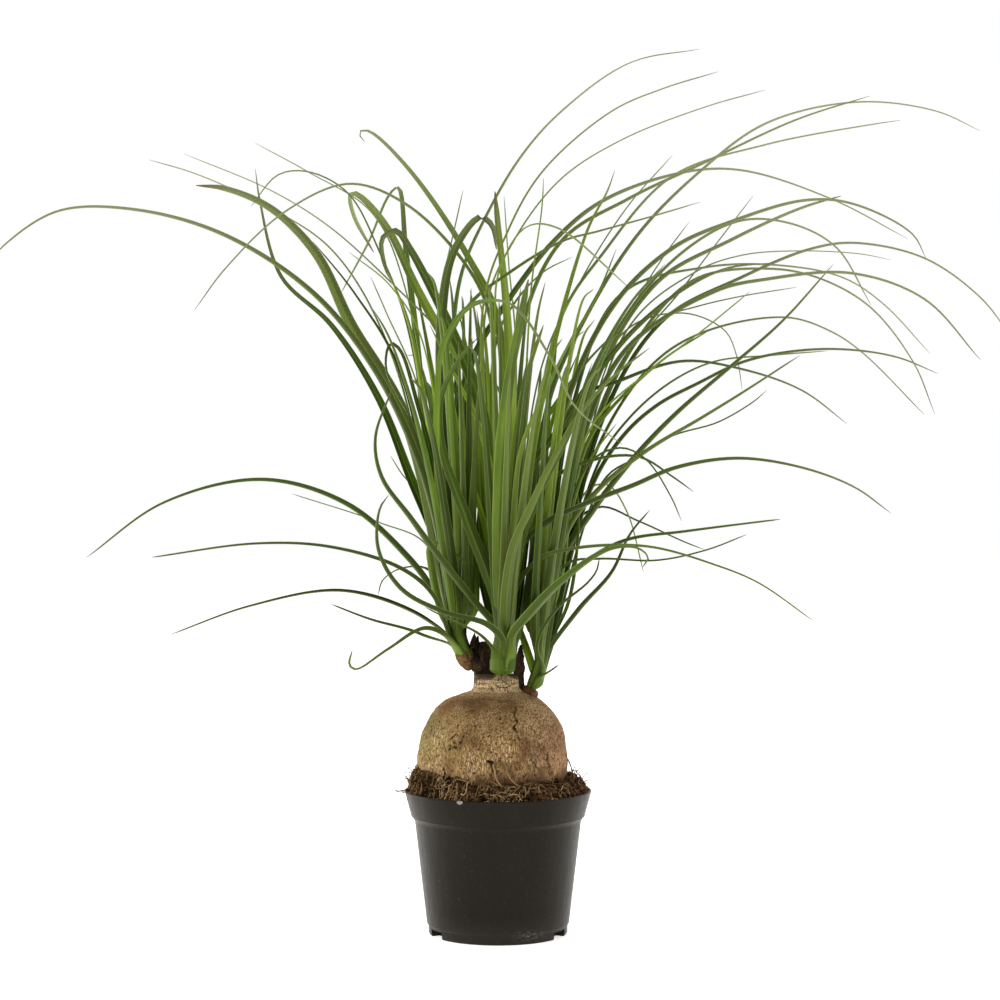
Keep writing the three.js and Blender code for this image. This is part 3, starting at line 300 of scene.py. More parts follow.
MIDDLE_LEAVES = [
    [2.5, 1, 30, 90, [[0, 358], [-30, 388], [-60, 418], [-110, 464], [-150, 489], [-207, 513]]],
    [4.5, 1, 42, -60, [[-2, 350], [-6, 407], [-21, 439], [-60, 479], [-98, 493], [-140, 475],
      [-180, 437], [-200, 410]]],
    [7.5, 2, 72, 50, [[0, 400], [-20, 445], [-60, 504], [-86, 528], [-92, 527], [-88, 521]]],
    [7, 1, 60, -75, [[3, 190], [-7, 202], [-37, 211], [-64, 226], [-79, 252], [-78, 279],
      [-72, 288]]],
    [8.5, 1.5, 85, -60, [[-2, 219], [-21, 273], [-37, 320], [-37, 354], [-23, 381], [-14, 391]]],
    [5.5, 1, 80, 5, [[-5, 252], [-21, 310], [-30, 352], [-31, 367]]],
    [3.5, 1, 50, -45, [[-3, 185], [-12, 196], [-34, 207], [-48, 214]]],
    [7, 1, 60, -45, [[-1, 197], [-19, 221], [-39, 247], [-58, 273], [-77, 300], [-81, 326],
      [-69, 360]]],
    [7, 1, 85, 25, [[0, 200], [-8, 235], [-20, 270], [-34, 310], [-42, 345], [-56, 385]]],
    [8.5, 3, 88, -95, [[1, 226], [2, 310], [8, 368], [13, 395], [20, 430]]],
    [6.5, 2, 80, -65, [[6, 268], [15, 347], [21, 373], [30, 400]]],
    [6.5, 1, 80, -30, [[0, 273], [-11, 329], [-30, 370], [-45, 400]]],
    [5.5, 1, 70, -75, [[10, 268], [16, 320], [36, 365], [50, 395]]],
    [7, 1, 75, 35, [[15, 280], [26, 326], [54, 370], [80, 398]]],
    [7.5, 1, 65, -85, [[5, 210], [10, 252], [21, 278], [36, 310], [54, 341], [75, 365], [100, 385]]],
    [6, 3.5, 85, 40, [[9, 300], [9, 350], [5, 419], [0, 466], [-2, 488]]],
    [2.5, 1, 30, 80, [[12, 380], [7, 442], [4, 485]]],
    [2.5, 1, 30, -30, [[18, 360], [22, 425], [29, 478], [30, 497]]],
    [2.5, 1, 30, -75, [[-2, 400], [1, 436], [19, 465], [39, 464], [86, 425]]],
    [5, 1, 60, 50, [[-2, 385], [10, 413], [30, 435], [49, 445]]],
    [4.5, 1, 60, 20, [[30, 350], [42, 378], [67, 423], [78, 450]]],
    [2.5, 1, 30, -45, [[-10, 410], [7, 463], [30, 502], [75, 541], [109, 556], [145, 567]]],
    [2.5, 1, 25, 65, [[-8, 410], [10, 455], [41, 496], [81, 522], [137, 544], [176, 555]]],
    [6.5, 1, 82, -20, [[25, 330], [42, 407], [60, 465], [72, 488], [77, 502]]],
    [5.5, 1, 40, 60, [[34, 350], [57, 403], [92, 459], [132, 500], [177, 533], [237, 547], [289, 541],
      [318, 528]]],
    [5.5, 1, 42, -25, [[12, 380], [41, 454], [86, 483], [132, 505], [196, 535], [245, 551]]],
    [4.5, 1, 36, 20, [[40, 400], [70, 448], [115, 498], [177, 519], [245, 532], [265, 535]]],
    [6.5, 1, 50, -60, [[46, 350], [78, 415], [116, 451], [154, 468], [202, 482], [233, 480],
      [273, 460], [282, 444]]],
    [6.5, 1, 50, -65, [[10, 243], [27, 266], [58, 282], [89, 294], [118, 306], [158, 312], [200, 306],
      [235, 293], [259, 276]]],
    [5, 1.5, 45, -50, [[16, 205], [31, 221], [58, 244], [84, 258], [124, 264], [186, 272]]],
    [4.5, 1, 45, -52, [[12, 225, -32], [28, 246, -46], [52, 253, -58], [99, 254, -70],
      [143, 242, -78], [172, 230, -81], [208, 205, -84]]],
    [8.5, 1.5, 62, -70, [[10, 195], [20, 208], [42, 231], [73, 252], [92, 253], [99, 247], [95, 240]]],
    [5.5, 1, 55, -20, [[10, 255], [33, 296], [63, 311], [93, 313], [115, 300], [129, 290]]],
    [8, 1, 72, 30, [[19, 299], [42, 333], [63, 365], [90, 397], [120, 422], [150, 437],
      [180, 441]]],
    [7, 1, 72, -60, [[10, 236], [25, 284], [45, 325], [65, 375], [88, 415], [110, 440]]],
    [5.5, 1, 62, 50, [[6, 250], [18, 300], [34, 350], [40, 400], [56, 455], [62, 470]]],
    [7, 3, 84, 45, [[-3, 250], [-8, 310], [-20, 370], [-38, 396], [-54, 425], [-73, 464],
      [-90, 484], [-97, 487], [-95, 473], [-82, 448]]],
    [8, 3, 86, 30, [[0, 250], [-4, 310], [-15, 358], [-30, 395], [-46, 428], [-58, 450], [-67, 462],
      [-76, 457], [-74, 438], [-69, 427]]],
    [6.5, 1, 80, 45, [[-3, 198], [-9, 225], [-15, 255], [-19, 290], [-24, 335], [-34, 380]]],
    [7.5, 1, 82, 75, [[-1, 205], [-7, 240], [-11, 280], [-13, 320], [-18, 370], [-26, 410]]],
    [2, 1, 20, 30, [[28, 370], [56, 432], [86, 479], [115, 512]]],
    [7.5, 1, 82, 70, [[10, 210], [16, 245], [21, 280], [27, 320], [38, 365], [55, 400]]],
]

RIGHT_LEAVES = [
    [2.5, 1, 30, 60, [[80, 370], [120, 422], [145, 455], [168, 485]]],
    [2.5, 1, 35, 55, [[80, 392], [120, 408], [149, 397], [157, 381], [161, 357]]],
    [5.5, 2.5, 45, 30, [[60, 350], [104, 427], [154, 456], [200, 477], [226, 485]]],
    [4.5, 1, 45, -100, [[58, 350], [103, 430], [154, 467], [188, 468], [222, 452], [246, 413]]],
    [5, 1, 48, 15, [[70, 340], [109, 403], [160, 431], [206, 450], [235, 454], [281, 444],
      [318, 418], [340, 390]]],
    [2.5, 1, 25, 85, [[84, 395], [130, 435], [160, 446], [196, 449], [239, 447], [259, 443]]],
    [6, 1, 48, -60, [[52, 310], [84, 383], [143, 422], [177, 430], [233, 434], [281, 417],
      [318, 377]]],
    [4.5, 1, 48, 75, [[48, 340], [81, 420], [137, 438], [189, 439], [228, 431], [254, 414],
      [285, 381]]],
    [4.5, 1, 45, 30, [[60, 320], [92, 390], [130, 430], [178, 437], [211, 431], [245, 412],
      [274, 375], [288, 341]]],
    [6, 1, 62, -35, [[40, 240], [63, 278], [92, 315], [118, 342], [154, 373], [188, 403],
      [221, 440]]],
    [3.5, 1, 45, 50, [[62, 310], [100, 372], [135, 395], [190, 405], [219, 396], [240, 382],
      [281, 341]]],
    [4.5, 1, 52, -15, [[61, 291], [82, 326], [105, 347], [133, 362], [160, 375], [190, 382],
      [225, 384], [262, 379], [290, 368]]],
    [3.5, 1, 35, 20, [[66, 308], [87, 339], [115, 363], [143, 376], [180, 380], [217, 383]]],
    [5, 1, 52, 10, [[52, 349], [80, 363], [121, 376], [160, 371], [200, 357], [230, 335]]],
    [2.5, 1, 25, 40, [[78, 370], [110, 405], [130, 412], [160, 419], [197, 425]]],
    [2.5, 1, 30, -40, [[60, 330], [100, 370], [133, 395], [166, 422]]],
    [5.5, 1, 62, -60, [[45, 262], [66, 291], [98, 317], [133, 338], [159, 354], [199, 380]]],
    [2.5, 1, 30, -20, [[70, 298], [90, 312], [115, 327], [145, 336], [169, 350], [177, 357]]],
    [3, 1, 35, -30, [[34, 220], [46, 243], [67, 246], [105, 245], [138, 252], [164, 262]]],
    [3.5, 1, 45, 30, [[45, 262], [67, 280], [92, 271], [123, 257], [136, 252]]],
    [5, 1, 62, -20, [[30, 178], [53, 212], [75, 237], [87, 262], [100, 278]]],
    [2.5, 1, 30, 10, [[58, 290], [72, 295], [85, 277], [96, 237]]],
    [3.5, 1, 40, -55, [[58, 306], [80, 319], [97, 312], [114, 287], [121, 271]]],
    [5, 1, 70, -10, [[58, 320], [73, 343], [110, 378], [140, 397]]],
    [3.5, 1, 60, -20, [[29, 181], [46, 215], [52, 250], [53, 280], [48, 312]]],
    [6, 1, 80, 60, [[26, 182], [33, 215], [37, 250], [42, 285], [55, 330], [70, 365]]],
    [6, 1, 80, 90, [[24, 182], [27, 220], [30, 260], [38, 300], [50, 340], [62, 375]]],
    [3.5, 1, 70, -30, [[30, 184], [35, 207], [43, 240], [48, 275], [60, 310], [78, 335]]],
    [3, 1, 60, -15, [[25, 166], [30, 169], [40, 176]]],
    [6.5, 2, 82, 16, [[24, 168], [21.5, 177], [17.5, 190], [14, 201], [11, 216]]],
    [3.5, 1, 60, -40, [[26, 190], [38, 212], [59, 230], [65, 238], [67, 247]]],
    [2, 1, 25, 35, [[64, 350], [88, 410], [109, 445], [126, 468]]],
    [7, 1, 82, 50, [[22, 190], [22, 225], [24, 260], [29, 300], [38, 345], [52, 380]]],
]

# Further leaves that rise through the middle and arch forward or back, drawn with a seeded rule
FILL_SEED = 43
FILLS = {
    "left": {"count": 12, "across": [-62, -8]},
    "middle": {"count": 15, "across": [-24, 44]},
    "right": {"count": 11, "across": [26, 92]},
}
FILL_TOP = [360, 440]
FILL_DEPTH = [110, 215]
FILL_WIDTH = [6, 8.5]
FILL_TURN = [50, 90]
FILL_PEAK_BACK = [0.9, 1.15]
FILL_PEAK_FRONT = [0.95, 1.2]
FILL_STATIONS = [0.16, 0.34, 0.56, 0.78, 1]


def mix(start, end, share):
    return start + (end - start) * share


def ramp(value, low, high):
    """0 at low and 1 at high, with a smooth turn at both ends."""
    share = np.clip((value - low) / (high - low), 0, 1)
    return share * share * (3 - 2 * share)


def unit(rows):
    """Each row's vector with a length of 1."""
    return rows / np.linalg.norm(rows, axis=1)[:, None]


def from_axis(places):
    """Distance of each place from the Z axis."""
    return np.hypot(places[:, 0], places[:, 1])


def distances_along(line):
    """Distance from a line's first point to each of its points, along the line."""
    return np.concatenate([[0], np.cumsum(np.linalg.norm(np.diff(line, axis=0), axis=1))])


def at_distances(line, travelled, distances):
    """Points of a line at distances along it."""
    return np.column_stack([np.interp(distances, travelled, values) for values in line.T])


def seeded_random(seed):
    """The same row of numbers from 0 to 1 that the model's source draws."""
    state = seed

    def draw():
        nonlocal state
        state = (state + 0x6D2B79F5) & 0xFFFFFFFF
        mixed = ((state ^ (state >> 15)) * (state | 1)) & 0xFFFFFFFF
        mixed = (((mixed + ((mixed ^ (mixed >> 7)) * (mixed | 61))) & 0xFFFFFFFF) ^ mixed)
        return ((mixed ^ (mixed >> 14)) & 0xFFFFFFFF) / 4294967296

    return draw


def lattice_value(cells, seed):
    """A repeatable number from 0 to 1 for each whole-number cell."""
    cells = cells.astype(np.uint32)
    mixed = cells[:, 0] * np.uint32(73856093) ^ cells[:, 1] * np.uint32(19349663)
    mixed ^= cells[:, 2] * np.uint32(83492791) ^ np.uint32(seed * 2246822519 & 0xFFFFFFFF)
    mixed = (mixed ^ (mixed >> 15)) * np.uint32(2246822519)
    mixed = (mixed ^ (mixed >> 13)) * np.uint32(3266489917)
    return ((mixed ^ (mixed >> 16)) & 0xFFFF) / 65535


def bumps(points, size, seed=0):
    """Smooth noise from -1 to 1 with lumps of about that size, which may differ by axis."""
    place = np.asarray(points) / size
    cell = np.floor(place).astype(np.int64)
    part = place - cell
    part = part * part * (3 - 2 * part)
    total = np.zeros(len(place))
    for corner in itertools.product((0, 1), repeat=3):
        weight = np.prod(np.where(corner, part, 1 - part), axis=1)
        total += weight * lattice_value(cell + corner, seed)
    return total * 2 - 1


def rough(points, size, seed=0, layers=3):
    """Bumps with finer bumps on them."""
    size = np.asarray(size, float)
    return sum(bumps(points, size / 2**k, seed + k) / 2**k for k in range(layers)) / 1.6


def catmull_rom(listed, count):
    """Points along a smooth curve through the listed ones."""
    places = np.array(listed, float)
    before, after = 2 * places[0] - places[1], 2 * places[-1] - places[-2]
    padded = np.vstack([before, places, after])
    travelled = np.linspace(0, len(places) - 1, count + 1)
    segment = np.minimum(travelled.astype(int), len(places) - 2)
    t = (travelled - segment)[:, None]
    p0, p1, p2, p3 = (padded[segment + k] for k in range(4))
    gap0, gap1, gap2 = (
        np.sqrt(np.linalg.norm(b - a, axis=1))[:, None] for a, b in ((p0, p1), (p1, p2), (p2, p3))
    )
    leave = ((p1 - p0) / gap0 - (p2 - p0) / (gap0 + gap1) + (p2 - p1) / gap1) * gap1
    arrive = ((p2 - p1) / gap1 - (p3 - p1) / (gap1 + gap2) + (p3 - p2) / gap2) * gap1
    square = -3 * p1 + 3 * p2 - 2 * leave - arrive
    return p1 + leave * t + square * t**2 + (2 * p1 - 2 * p2 + leave + arrive) * t**3


def fill_leaves():
    draw = seeded_random(FILL_SEED)

    def between(limits):
        return mix(limits[0], limits[1], draw())

    fills = {}
    for side, rule in FILLS.items():
        foot_x, foot_y, foot_z = HEADS[side]["foot"]
        fills[side] = []
        for k in range(rule["count"]):
            to_back = k % 2 == 0
            top_x = mix(*rule["across"], (k + draw()) / rule["count"])
            top_z = between(FILL_TOP)
            depth = between(FILL_DEPTH) * (1 if to_back else -1)
            peak = between(FILL_PEAK_BACK if to_back else FILL_PEAK_FRONT)
            width = between(FILL_WIDTH)
            turn = between(FILL_TURN)
            points = [
                [
                    mix(foot_x, top_x, min(1.1, station / peak) ** 0.8),
                    mix(foot_z, top_z, 1 - (1 - station / peak) ** 2),
                    foot_y + depth * station,
                ]
                for station in FILL_STATIONS
            ]
            fills[side].append([width, 1, turn, depth, points])
    return fills


def early_point(points):
    return points[int(len(points) * EARLY_SHARE)]


def openness(side, row):
    """How far a leaf opens from upright, in radians."""
    early = early_point(row[4])
    foot = HEADS[side]["foot"]
    return math.atan2(math.hypot(early[0] - foot[0], row[3] * EARLY_SHARE), early[1] - foot[2])


def with_depths(row, root):
    """The listed points as [across, depth, up]: each has its own depth, or a share of the tip's."""
    depth, points = row[3], row[4]
    path = np.array([[root[0], root[2]]] + [point[:2] for point in points])
    seen = distances_along(path)[1:]
    places = [root]
    for point, share in zip(points, seen / seen[-1]):
        y = point[2] if len(point) == 3 else root[1] + DEPTH_STRETCH * depth * share
        places.append([point[0], y, point[1]])
    return np.array(places, float)


def step_distances(fine, travelled):
    """Distances from the root at which the model's blade has its steps."""
    along = np.diff(fine, axis=0)
    lengths = np.linalg.norm(along, axis=1)
    along = along / lengths[:, None]
    bends = np.arccos(np.clip((along[1:] * along[:-1]).sum(1), -1, 1))
    spent = np.concatenate([[0], np.cumsum(lengths + np.concatenate([[0], bends]) * BEND_LENGTH)])
    count = int(np.clip(math.floor(spent[-1] / STEP_LENGTH + 0.5), MIN_STEPS, MAX_STEPS))
    return np.interp(np.linspace(0, spent[-1], count + 1), spent, travelled)


def blade_size(leaf, distance):
    """Width and thickness at distances from the root."""
    width, end_width = leaf["row"][:2]
    share = distance / leaf["length"]
    wide_until = min(0.9, TAPER_START + WIDE_END_DELAY * (end_width - 1))
    taper = np.clip((share - wide_until) / (1 - wide_until), 0, 1)
    flare = mix(ROOT_NARROWING, 1, np.clip(distance / ROOT_LENGTH, 0, 1))
    widths = np.maximum(MIN_WIDTH, mix(width * flare, end_width, taper))
    most = max(TIP_THICKNESS, width * 0.3 + 0.3)
    return widths, np.clip(mix(BLADE_THICKNESS, TIP_THICKNESS, taper), TIP_THICKNESS, most)


def lay_out(side, row, layer):
    """One leaf: its line, its steps and what its fine blade needs."""
    head = HEADS[side]
    foot, lean = np.array(head["foot"], float), np.array(head["lean"], float)
    to_side = early_point(row[4])[0] - foot[0]
    heading = math.atan2(row[3] * EARLY_SHARE, to_side)
    leans_back = math.atan2(row[3] * EARLY_SHARE, abs(to_side))
    shown = math.radians(row[2]) * (-1 if leans_back < 0 else 1)
    rise = mix(head["height"] * YOUNG_ROOT_SHARE, OPEN_ROOT_RISE, layer)
    reach = mix(YOUNG_ROOT_REACH, head["radius"] * OPEN_ROOT_SHARE, layer)
    root = foot + lean * rise + np.array([math.cos(heading), math.sin(heading), 0]) * reach
    fine = catmull_rom(with_depths(row, root), FINE_POINTS)
    travelled = distances_along(fine)
    distance = step_distances(fine, travelled)
    leaf = {
        "side": side, "row": row, "layer": layer, "heading": heading, "rise": rise, "reach": reach,
        "length": travelled[-1], "fine": fine, "travelled": travelled, "distance": distance,
        "across": np.array([-math.sin(heading), math.cos(heading), 0]),
        "twist": (leans_back - shown) * (-1 if to_side < 0 else 1),
    }
    leaf["places"] = at_distances(fine, travelled, distance)
    leaf["loose"] = np.clip((distance - STIFF_LENGTH) / FREE_LENGTH, 0, 1)
    leaf["width"], leaf["thickness"] = blade_size(leaf, distance)
    return leaf


def lay_out_head(side, rows):
    """A head's leaves, from the upright young ones in its middle to the open old ones."""
    ordered = sorted(rows, key=lambda row: openness(side, row))
    return [lay_out(side, row, (rank + 0.5) / len(ordered)) for rank, row in enumerate(ordered)]


def true_places(places):
    """Places as seen from straight in front, moved to where they are at their depth."""
    nearer = 1 + places[:, 1] / VIEW_DISTANCE
    height = LISTED_HEIGHT + (places[:, 2] - LISTED_HEIGHT) * nearer
    return np.column_stack([places[:, 0] * nearer, places[:, 1], height])


def turned_flat(leaf, along, distance):
    """The flat direction and the face normal of a blade at distances from its root."""
    flat = unit(leaf["across"] - along * (along @ leaf["across"])[:, None])
    twist = -leaf["twist"] * np.clip(distance / TWIST_LENGTH, 0, 1)[:, None]
    flat = flat * np.cos(twist) + np.cross(along, flat) * np.sin(twist)
    return flat, np.cross(along, flat)


def check_points(leaf, first_step):
    """Points between the steps at which leaves are tested against each other."""
    places = true_places(leaf["places"])
    padded = np.vstack([places[:1], places, places[-1:]])
    flat = turned_flat(leaf, unit(padded[2:] - padded[:-2]), leaf["distance"])[0]
    steps = len(places) - 1
    start = np.repeat(np.arange(steps), CHECKS_PER_STEP)
    share = np.tile((np.arange(CHECKS_PER_STEP) + 0.5) / CHECKS_PER_STEP, steps)

    def between(values):
        return mix(values[start], values[start + 1], share)

    width, thickness = between(leaf["width"]), between(leaf["thickness"])
    leaning = np.abs(between(flat[:, 1]))
    return {
        "start": start + first_step, "share": share,
        "x": between(leaf["places"][:, 0]), "z": between(leaf["places"][:, 2]),
        "depth": between(leaf["places"][:, 1]), "distance": between(leaf["distance"]),
        "loose": between(leaf["loose"]),
        "spread": np.sqrt(np.maximum(0, 1 - leaning**2)) * width * 0.5 + thickness,
        "reach": leaning * width * 0.5 + thickness,
    }


def find_meetings(leaves, firsts):
    """Every two check points that hide each other from the front, and the depth they need."""
    checks = [check_points(leaf, first) for leaf, first in zip(leaves, firsts)]
    found = []
    for a, b in itertools.combinations(range(len(leaves)), 2):
        one, two = checks[a], checks[b]
        room = one["spread"][:, None] + two["spread"] + CLEARANCE
        apart = np.hypot(one["x"][:, None] - two["x"], one["z"][:, None] - two["z"])
        near = apart < room
        if leaves[a]["side"] == leaves[b]["side"]:
            near &= np.minimum(one["distance"][:, None], two["distance"]) >= FUSED_LENGTH
        i, j = np.nonzero(near)
        if not len(i):
            continue
        order = -1 if (one["depth"][i] - two["depth"][j]).sum() < 0 else 1
        need = one["reach"][i] + two["reach"][j] + CLEARANCE
        found.append([
            one["start"][i], one["share"][i], one["loose"][i],
            two["start"][j], two["share"][j], two["loose"][j],
            need, np.full(len(i), order),
        ])
    return [np.concatenate(column) for column in zip(*found)]


def bend_clear(leaves):
    """Leaves that would cross are bent apart in depth, a little each round."""
    counts = [len(leaf["distance"]) for leaf in leaves]
    firsts = np.concatenate([[0], np.cumsum(counts)])
    start1, share1, loose1, start2, share2, loose2, need, order = find_meetings(leaves, firsts)
    depth = np.concatenate([leaf["places"][:, 1] for leaf in leaves])
    loose = np.concatenate([leaf["loose"] for leaf in leaves])
    distance = np.concatenate([leaf["distance"] for leaf in leaves])
    inner = np.ones(len(depth), bool)
    inner[firsts[:-1]] = False
    inner[firsts[1:] - 1] = False
    inner = np.flatnonzero(inner)
    part = (distance[inner] - distance[inner - 1]) / (distance[inner + 1] - distance[inner - 1])
    give1 = (loose1 + LEAST_LOOSE) / (loose1 + loose2 + 2 * LEAST_LOOSE)
    steps = np.concatenate([start1, start1 + 1, start2, start2 + 1])
    weights = np.concatenate([1 - share1, share1, 1 - share2, share2])
    for _ in range(CLEARING_ROUNDS):
        depth1 = mix(depth[start1], depth[start1 + 1], share1)
        depth2 = mix(depth[start2], depth[start2 + 1], share2)
        missing = need - order * (depth1 - depth2)
        pushed = missing > 0
        push1 = order * missing * give1
        push2 = -order * missing * (1 - give1)
        active = weights * np.tile(pushed, 4)
        pushes = np.bincount(steps, active, len(depth))
        push = np.bincount(steps, active * np.concatenate([push1, push1, push2, push2]), len(depth))
        depth = depth + np.where(pushes > 0, loose * push / np.maximum(pushes, 1e-9), 0)
        straight = mix(depth[inner - 1], depth[inner + 1], part)
        smoothed = mix(depth[inner], straight, SMOOTHING * loose[inner])
        depth[inner] = smoothed
    for leaf, first, count in zip(leaves, firsts, counts):
        leaf["shift"] = depth[first:first + count] - leaf["places"][:, 1]


def all_leaves():
    fills = fill_leaves()
    leaves = (
        lay_out_head("left", LEFT_LEAVES + fills["left"])
        + lay_out_head("middle", MIDDLE_LEAVES + fills["middle"])
        + lay_out_head("right", RIGHT_LEAVES + fills["right"])
    )
    bend_clear(leaves)
    return leaves


def new_mesh(name, points, faces, values=None, smooth=True):
    """A mesh object from points in metres, with named numbers or vectors at its points."""
    mesh = bpy.data.meshes.new(name)
    faces = faces.tolist() if isinstance(faces, np.ndarray) else faces
    mesh.from_pydata(np.asarray(points).tolist(), [], faces)
    for key, numbers in (values or {}).items():
        numbers = np.asarray(numbers, np.float32)
        kind, field = ("FLOAT_VECTOR", "vector") if numbers.ndim == 2 else ("FLOAT", "value")
        mesh.attributes.new(key, kind, "POINT").data.foreach_set(field, numbers.ravel())
    mesh.polygons.foreach_set("use_smooth", [smooth] * len(mesh.polygons))
    mesh.update()
    made = bpy.data.objects.new(name, mesh)
    bpy.context.scene.collection.objects.link(made)
    return made


def grid_faces(rows, columns, closed_round):
    """Quads between neighbouring rows of points; closed_round joins each row's end to its start."""
    across = np.arange(columns if closed_round else columns - 1)
    after = (across + 1) % columns
    base = np.arange(rows - 1)[:, None] * columns
    above = base + columns
    return np.stack([base + across, base + after, above + after, above + across], -1).reshape(-1, 4)


def piece(made, material, nodes=()):
    """Gives a piece its material and body, and hides the model's nodes that it stands for."""
    made.data.materials.append(material)
    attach(made, "root")
    if nodes:
        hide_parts(*nodes)


# Fine blades

def blade_line(leaf):
    """Distances from the root, and the true places of the blade's middle there."""
    rings = max(FEWEST_RINGS, int(leaf["length"] / RING_SPACING))
    distance = np.linspace(0, leaf["length"], rings)
    places = at_distances(leaf["fine"], leaf["travelled"], distance)
    shift = np.interp(distance, leaf["distance"], leaf["shift"])
    kernel = np.hanning(2 * SMOOTHED_RINGS + 3)[1:-1]
    shift = np.convolve(np.pad(shift, SMOOTHED_RINGS, mode="edge"), kernel / kernel.sum(), "valid")
    places[:, 1] += shift - mix(shift[0], 0, np.clip(distance / FREE_LENGTH, 0, 1))
    return distance, places


def sheath_places(leaf, heights, outward):
    """Points round the head's core at heights along it, for each place across the sheath."""
    head = HEADS[leaf["side"]]
    centre = np.array(head["foot"]) + np.array(head["lean"]) * heights[:, None]
    narrowing = np.clip(heights / SHEATH_LENGTH, 0, 1)[:, None]
    angle = leaf["heading"] + mix(*SHEATH_ANGLES, narrowing) * SECTION_ACROSS
    swollen = np.clip((heights + 1) / SHEATH_SWELLING_LENGTH, 0, 1)
    swelling = mix(head["narrow"], SHEATH_SWELLING, swollen)
    low, high = SHEATH_ROUNDING
    rounded = np.sqrt(np.clip((heights - low) / (high - low), 0.1, 1))
    radius = (leaf["reach"] + outward) * (swelling * rounded)[:, None]
    ring = np.stack([np.cos(angle) * radius, np.sin(angle) * radius, np.zeros_like(angle)], -1)
    return centre[:, None, :] + ring


def blade_section(leaf, centre, distance):
    """Points round the folded and keeled blade at each distance, and its width there."""
    flat, face = turned_flat(leaf, unit(np.gradient(centre, axis=0)), distance)
    width, thickness = blade_size(leaf, distance)
    share = distance / leaf["length"]
    width = width * np.sqrt(np.clip((1 - share) / POINT_LENGTH, POINT_LEAST, 1))
    thin = np.minimum(thickness * 0.5, width * THICKEST_SHARE)[:, None]
    fold = mix(*FOLD_DEPTHS, ramp(share, 0, FOLD_END))
    lift = fold[:, None] * width[:, None] * (np.abs(SECTION_ACROSS) ** FOLD_CURVE - FOLD_MIDDLE)
    keel = (1 - np.abs(SECTION_ACROSS) ** KEEL_CURVE) * thin * KEEL_DEPTH
    lift = lift + np.where(SECTION_UNDER > 0, -thin * FACE_SHARE - keel, thin * FACE_SHARE)
    sides = width[:, None] * 0.5 * SECTION_ACROSS
    section = centre[:, None, :] + flat[:, None, :] * sides[..., None]
    return section + face[:, None, :] * lift[..., None], width


def blade_mesh(leaf, tone, seed):
    """Points, faces and values of one blade with its clasping sheath."""
    distance, seen = blade_line(leaf)
    blade, width = blade_section(leaf, true_places(seen), distance)
    below = np.linspace(-SHEATH_FOOT, leaf["rise"], SHEATH_RINGS, endpoint=False)
    heights = np.concatenate([below, leaf["rise"] + (seen[:, 2] - seen[0, 2])])
    wrapped = sheath_places(leaf, heights, SECTION_UNDER * SHEATH_THICKNESS)
    wrapped = true_places(wrapped.reshape(-1, 3)).reshape(wrapped.shape)
    opened = ramp(distance, SHEATH_START, SHEATH_LENGTH)[:, None, None]
    section = np.concatenate([wrapped[:len(below)], mix(wrapped[len(below):], blade, opened)])

    rows, columns = section.shape[:2]
    count = rows * columns
    distance = np.concatenate([below - leaf["rise"], distance])
    width = np.concatenate([np.full(len(below), width[0]), width])
    withered = ramp(np.clip(distance / leaf["length"], 0, 1), 0.99 - 0.07 * seed**2, 1)
    far = np.repeat(distance, columns) * MM
    values = {
        "blade": np.column_stack([
            np.outer(width * 0.5, SECTION_ACROSS).ravel() * MM, far, np.full(count, seed * 3.7),
        ]),
        "across": np.tile(SECTION_ACROSS, rows),
        "under": np.tile(SECTION_UNDER, rows),
        "root": np.repeat(np.clip(1 - distance / ROOT_TONE_LENGTH, 0, 1), columns),
        "pale": np.full(count, seed),
        "far": far,
        "tone": np.full(count, tone),
        "dry": np.repeat(withered, columns),
    }
    return section.reshape(-1, 3) * MM, grid_faces(rows, columns, True)[:, ::-1], values


def joined(parts):
    """Several (points, faces, values) as one."""
    points, faces, values, offset = [], [], {}, 0
    for some_points, some_faces, some_values in parts:
        points.append(some_points)
        faces.append(np.asarray(some_faces) + offset)
        offset += len(some_points)
        for key, numbers in some_values.items():
            values.setdefault(key, []).append(numbers)
    return np.vstack(points), np.vstack(faces), {k: np.concatenate(v) for k, v in values.items()}


def make_rosettes(leaves, material):
    """One piece for each head, whose open outer leaves are darker than its young ones."""
    random = np.random.default_rng(LEAF_SEED)
    lowest, highest = np.array(CAD_LOW) + EDGE_ROOM * MM, np.array(CAD_HIGH) - EDGE_ROOM * MM
    for side, head in HEADS.items():
        parts = []
        for leaf in (leaf for leaf in leaves if leaf["side"] == side):
            spread = random.normal(0, head["tone_spread"])
            tone = np.clip(head["tone"] + leaf["layer"] * LAYER_TONE + spread, 0, 1)
            parts.append(blade_mesh(leaf, tone, random.random()))
        points, faces, values = joined(parts)
        made = new_mesh(f"leaves_{side}", np.clip(points, lowest, highest), faces, values)
        made.data.set_sharp_from_angle(angle=math.radians(LEAF_CREASE))
        piece(made, material, [f"rosette_{side}"])


# Bulb, neck and branch stubs

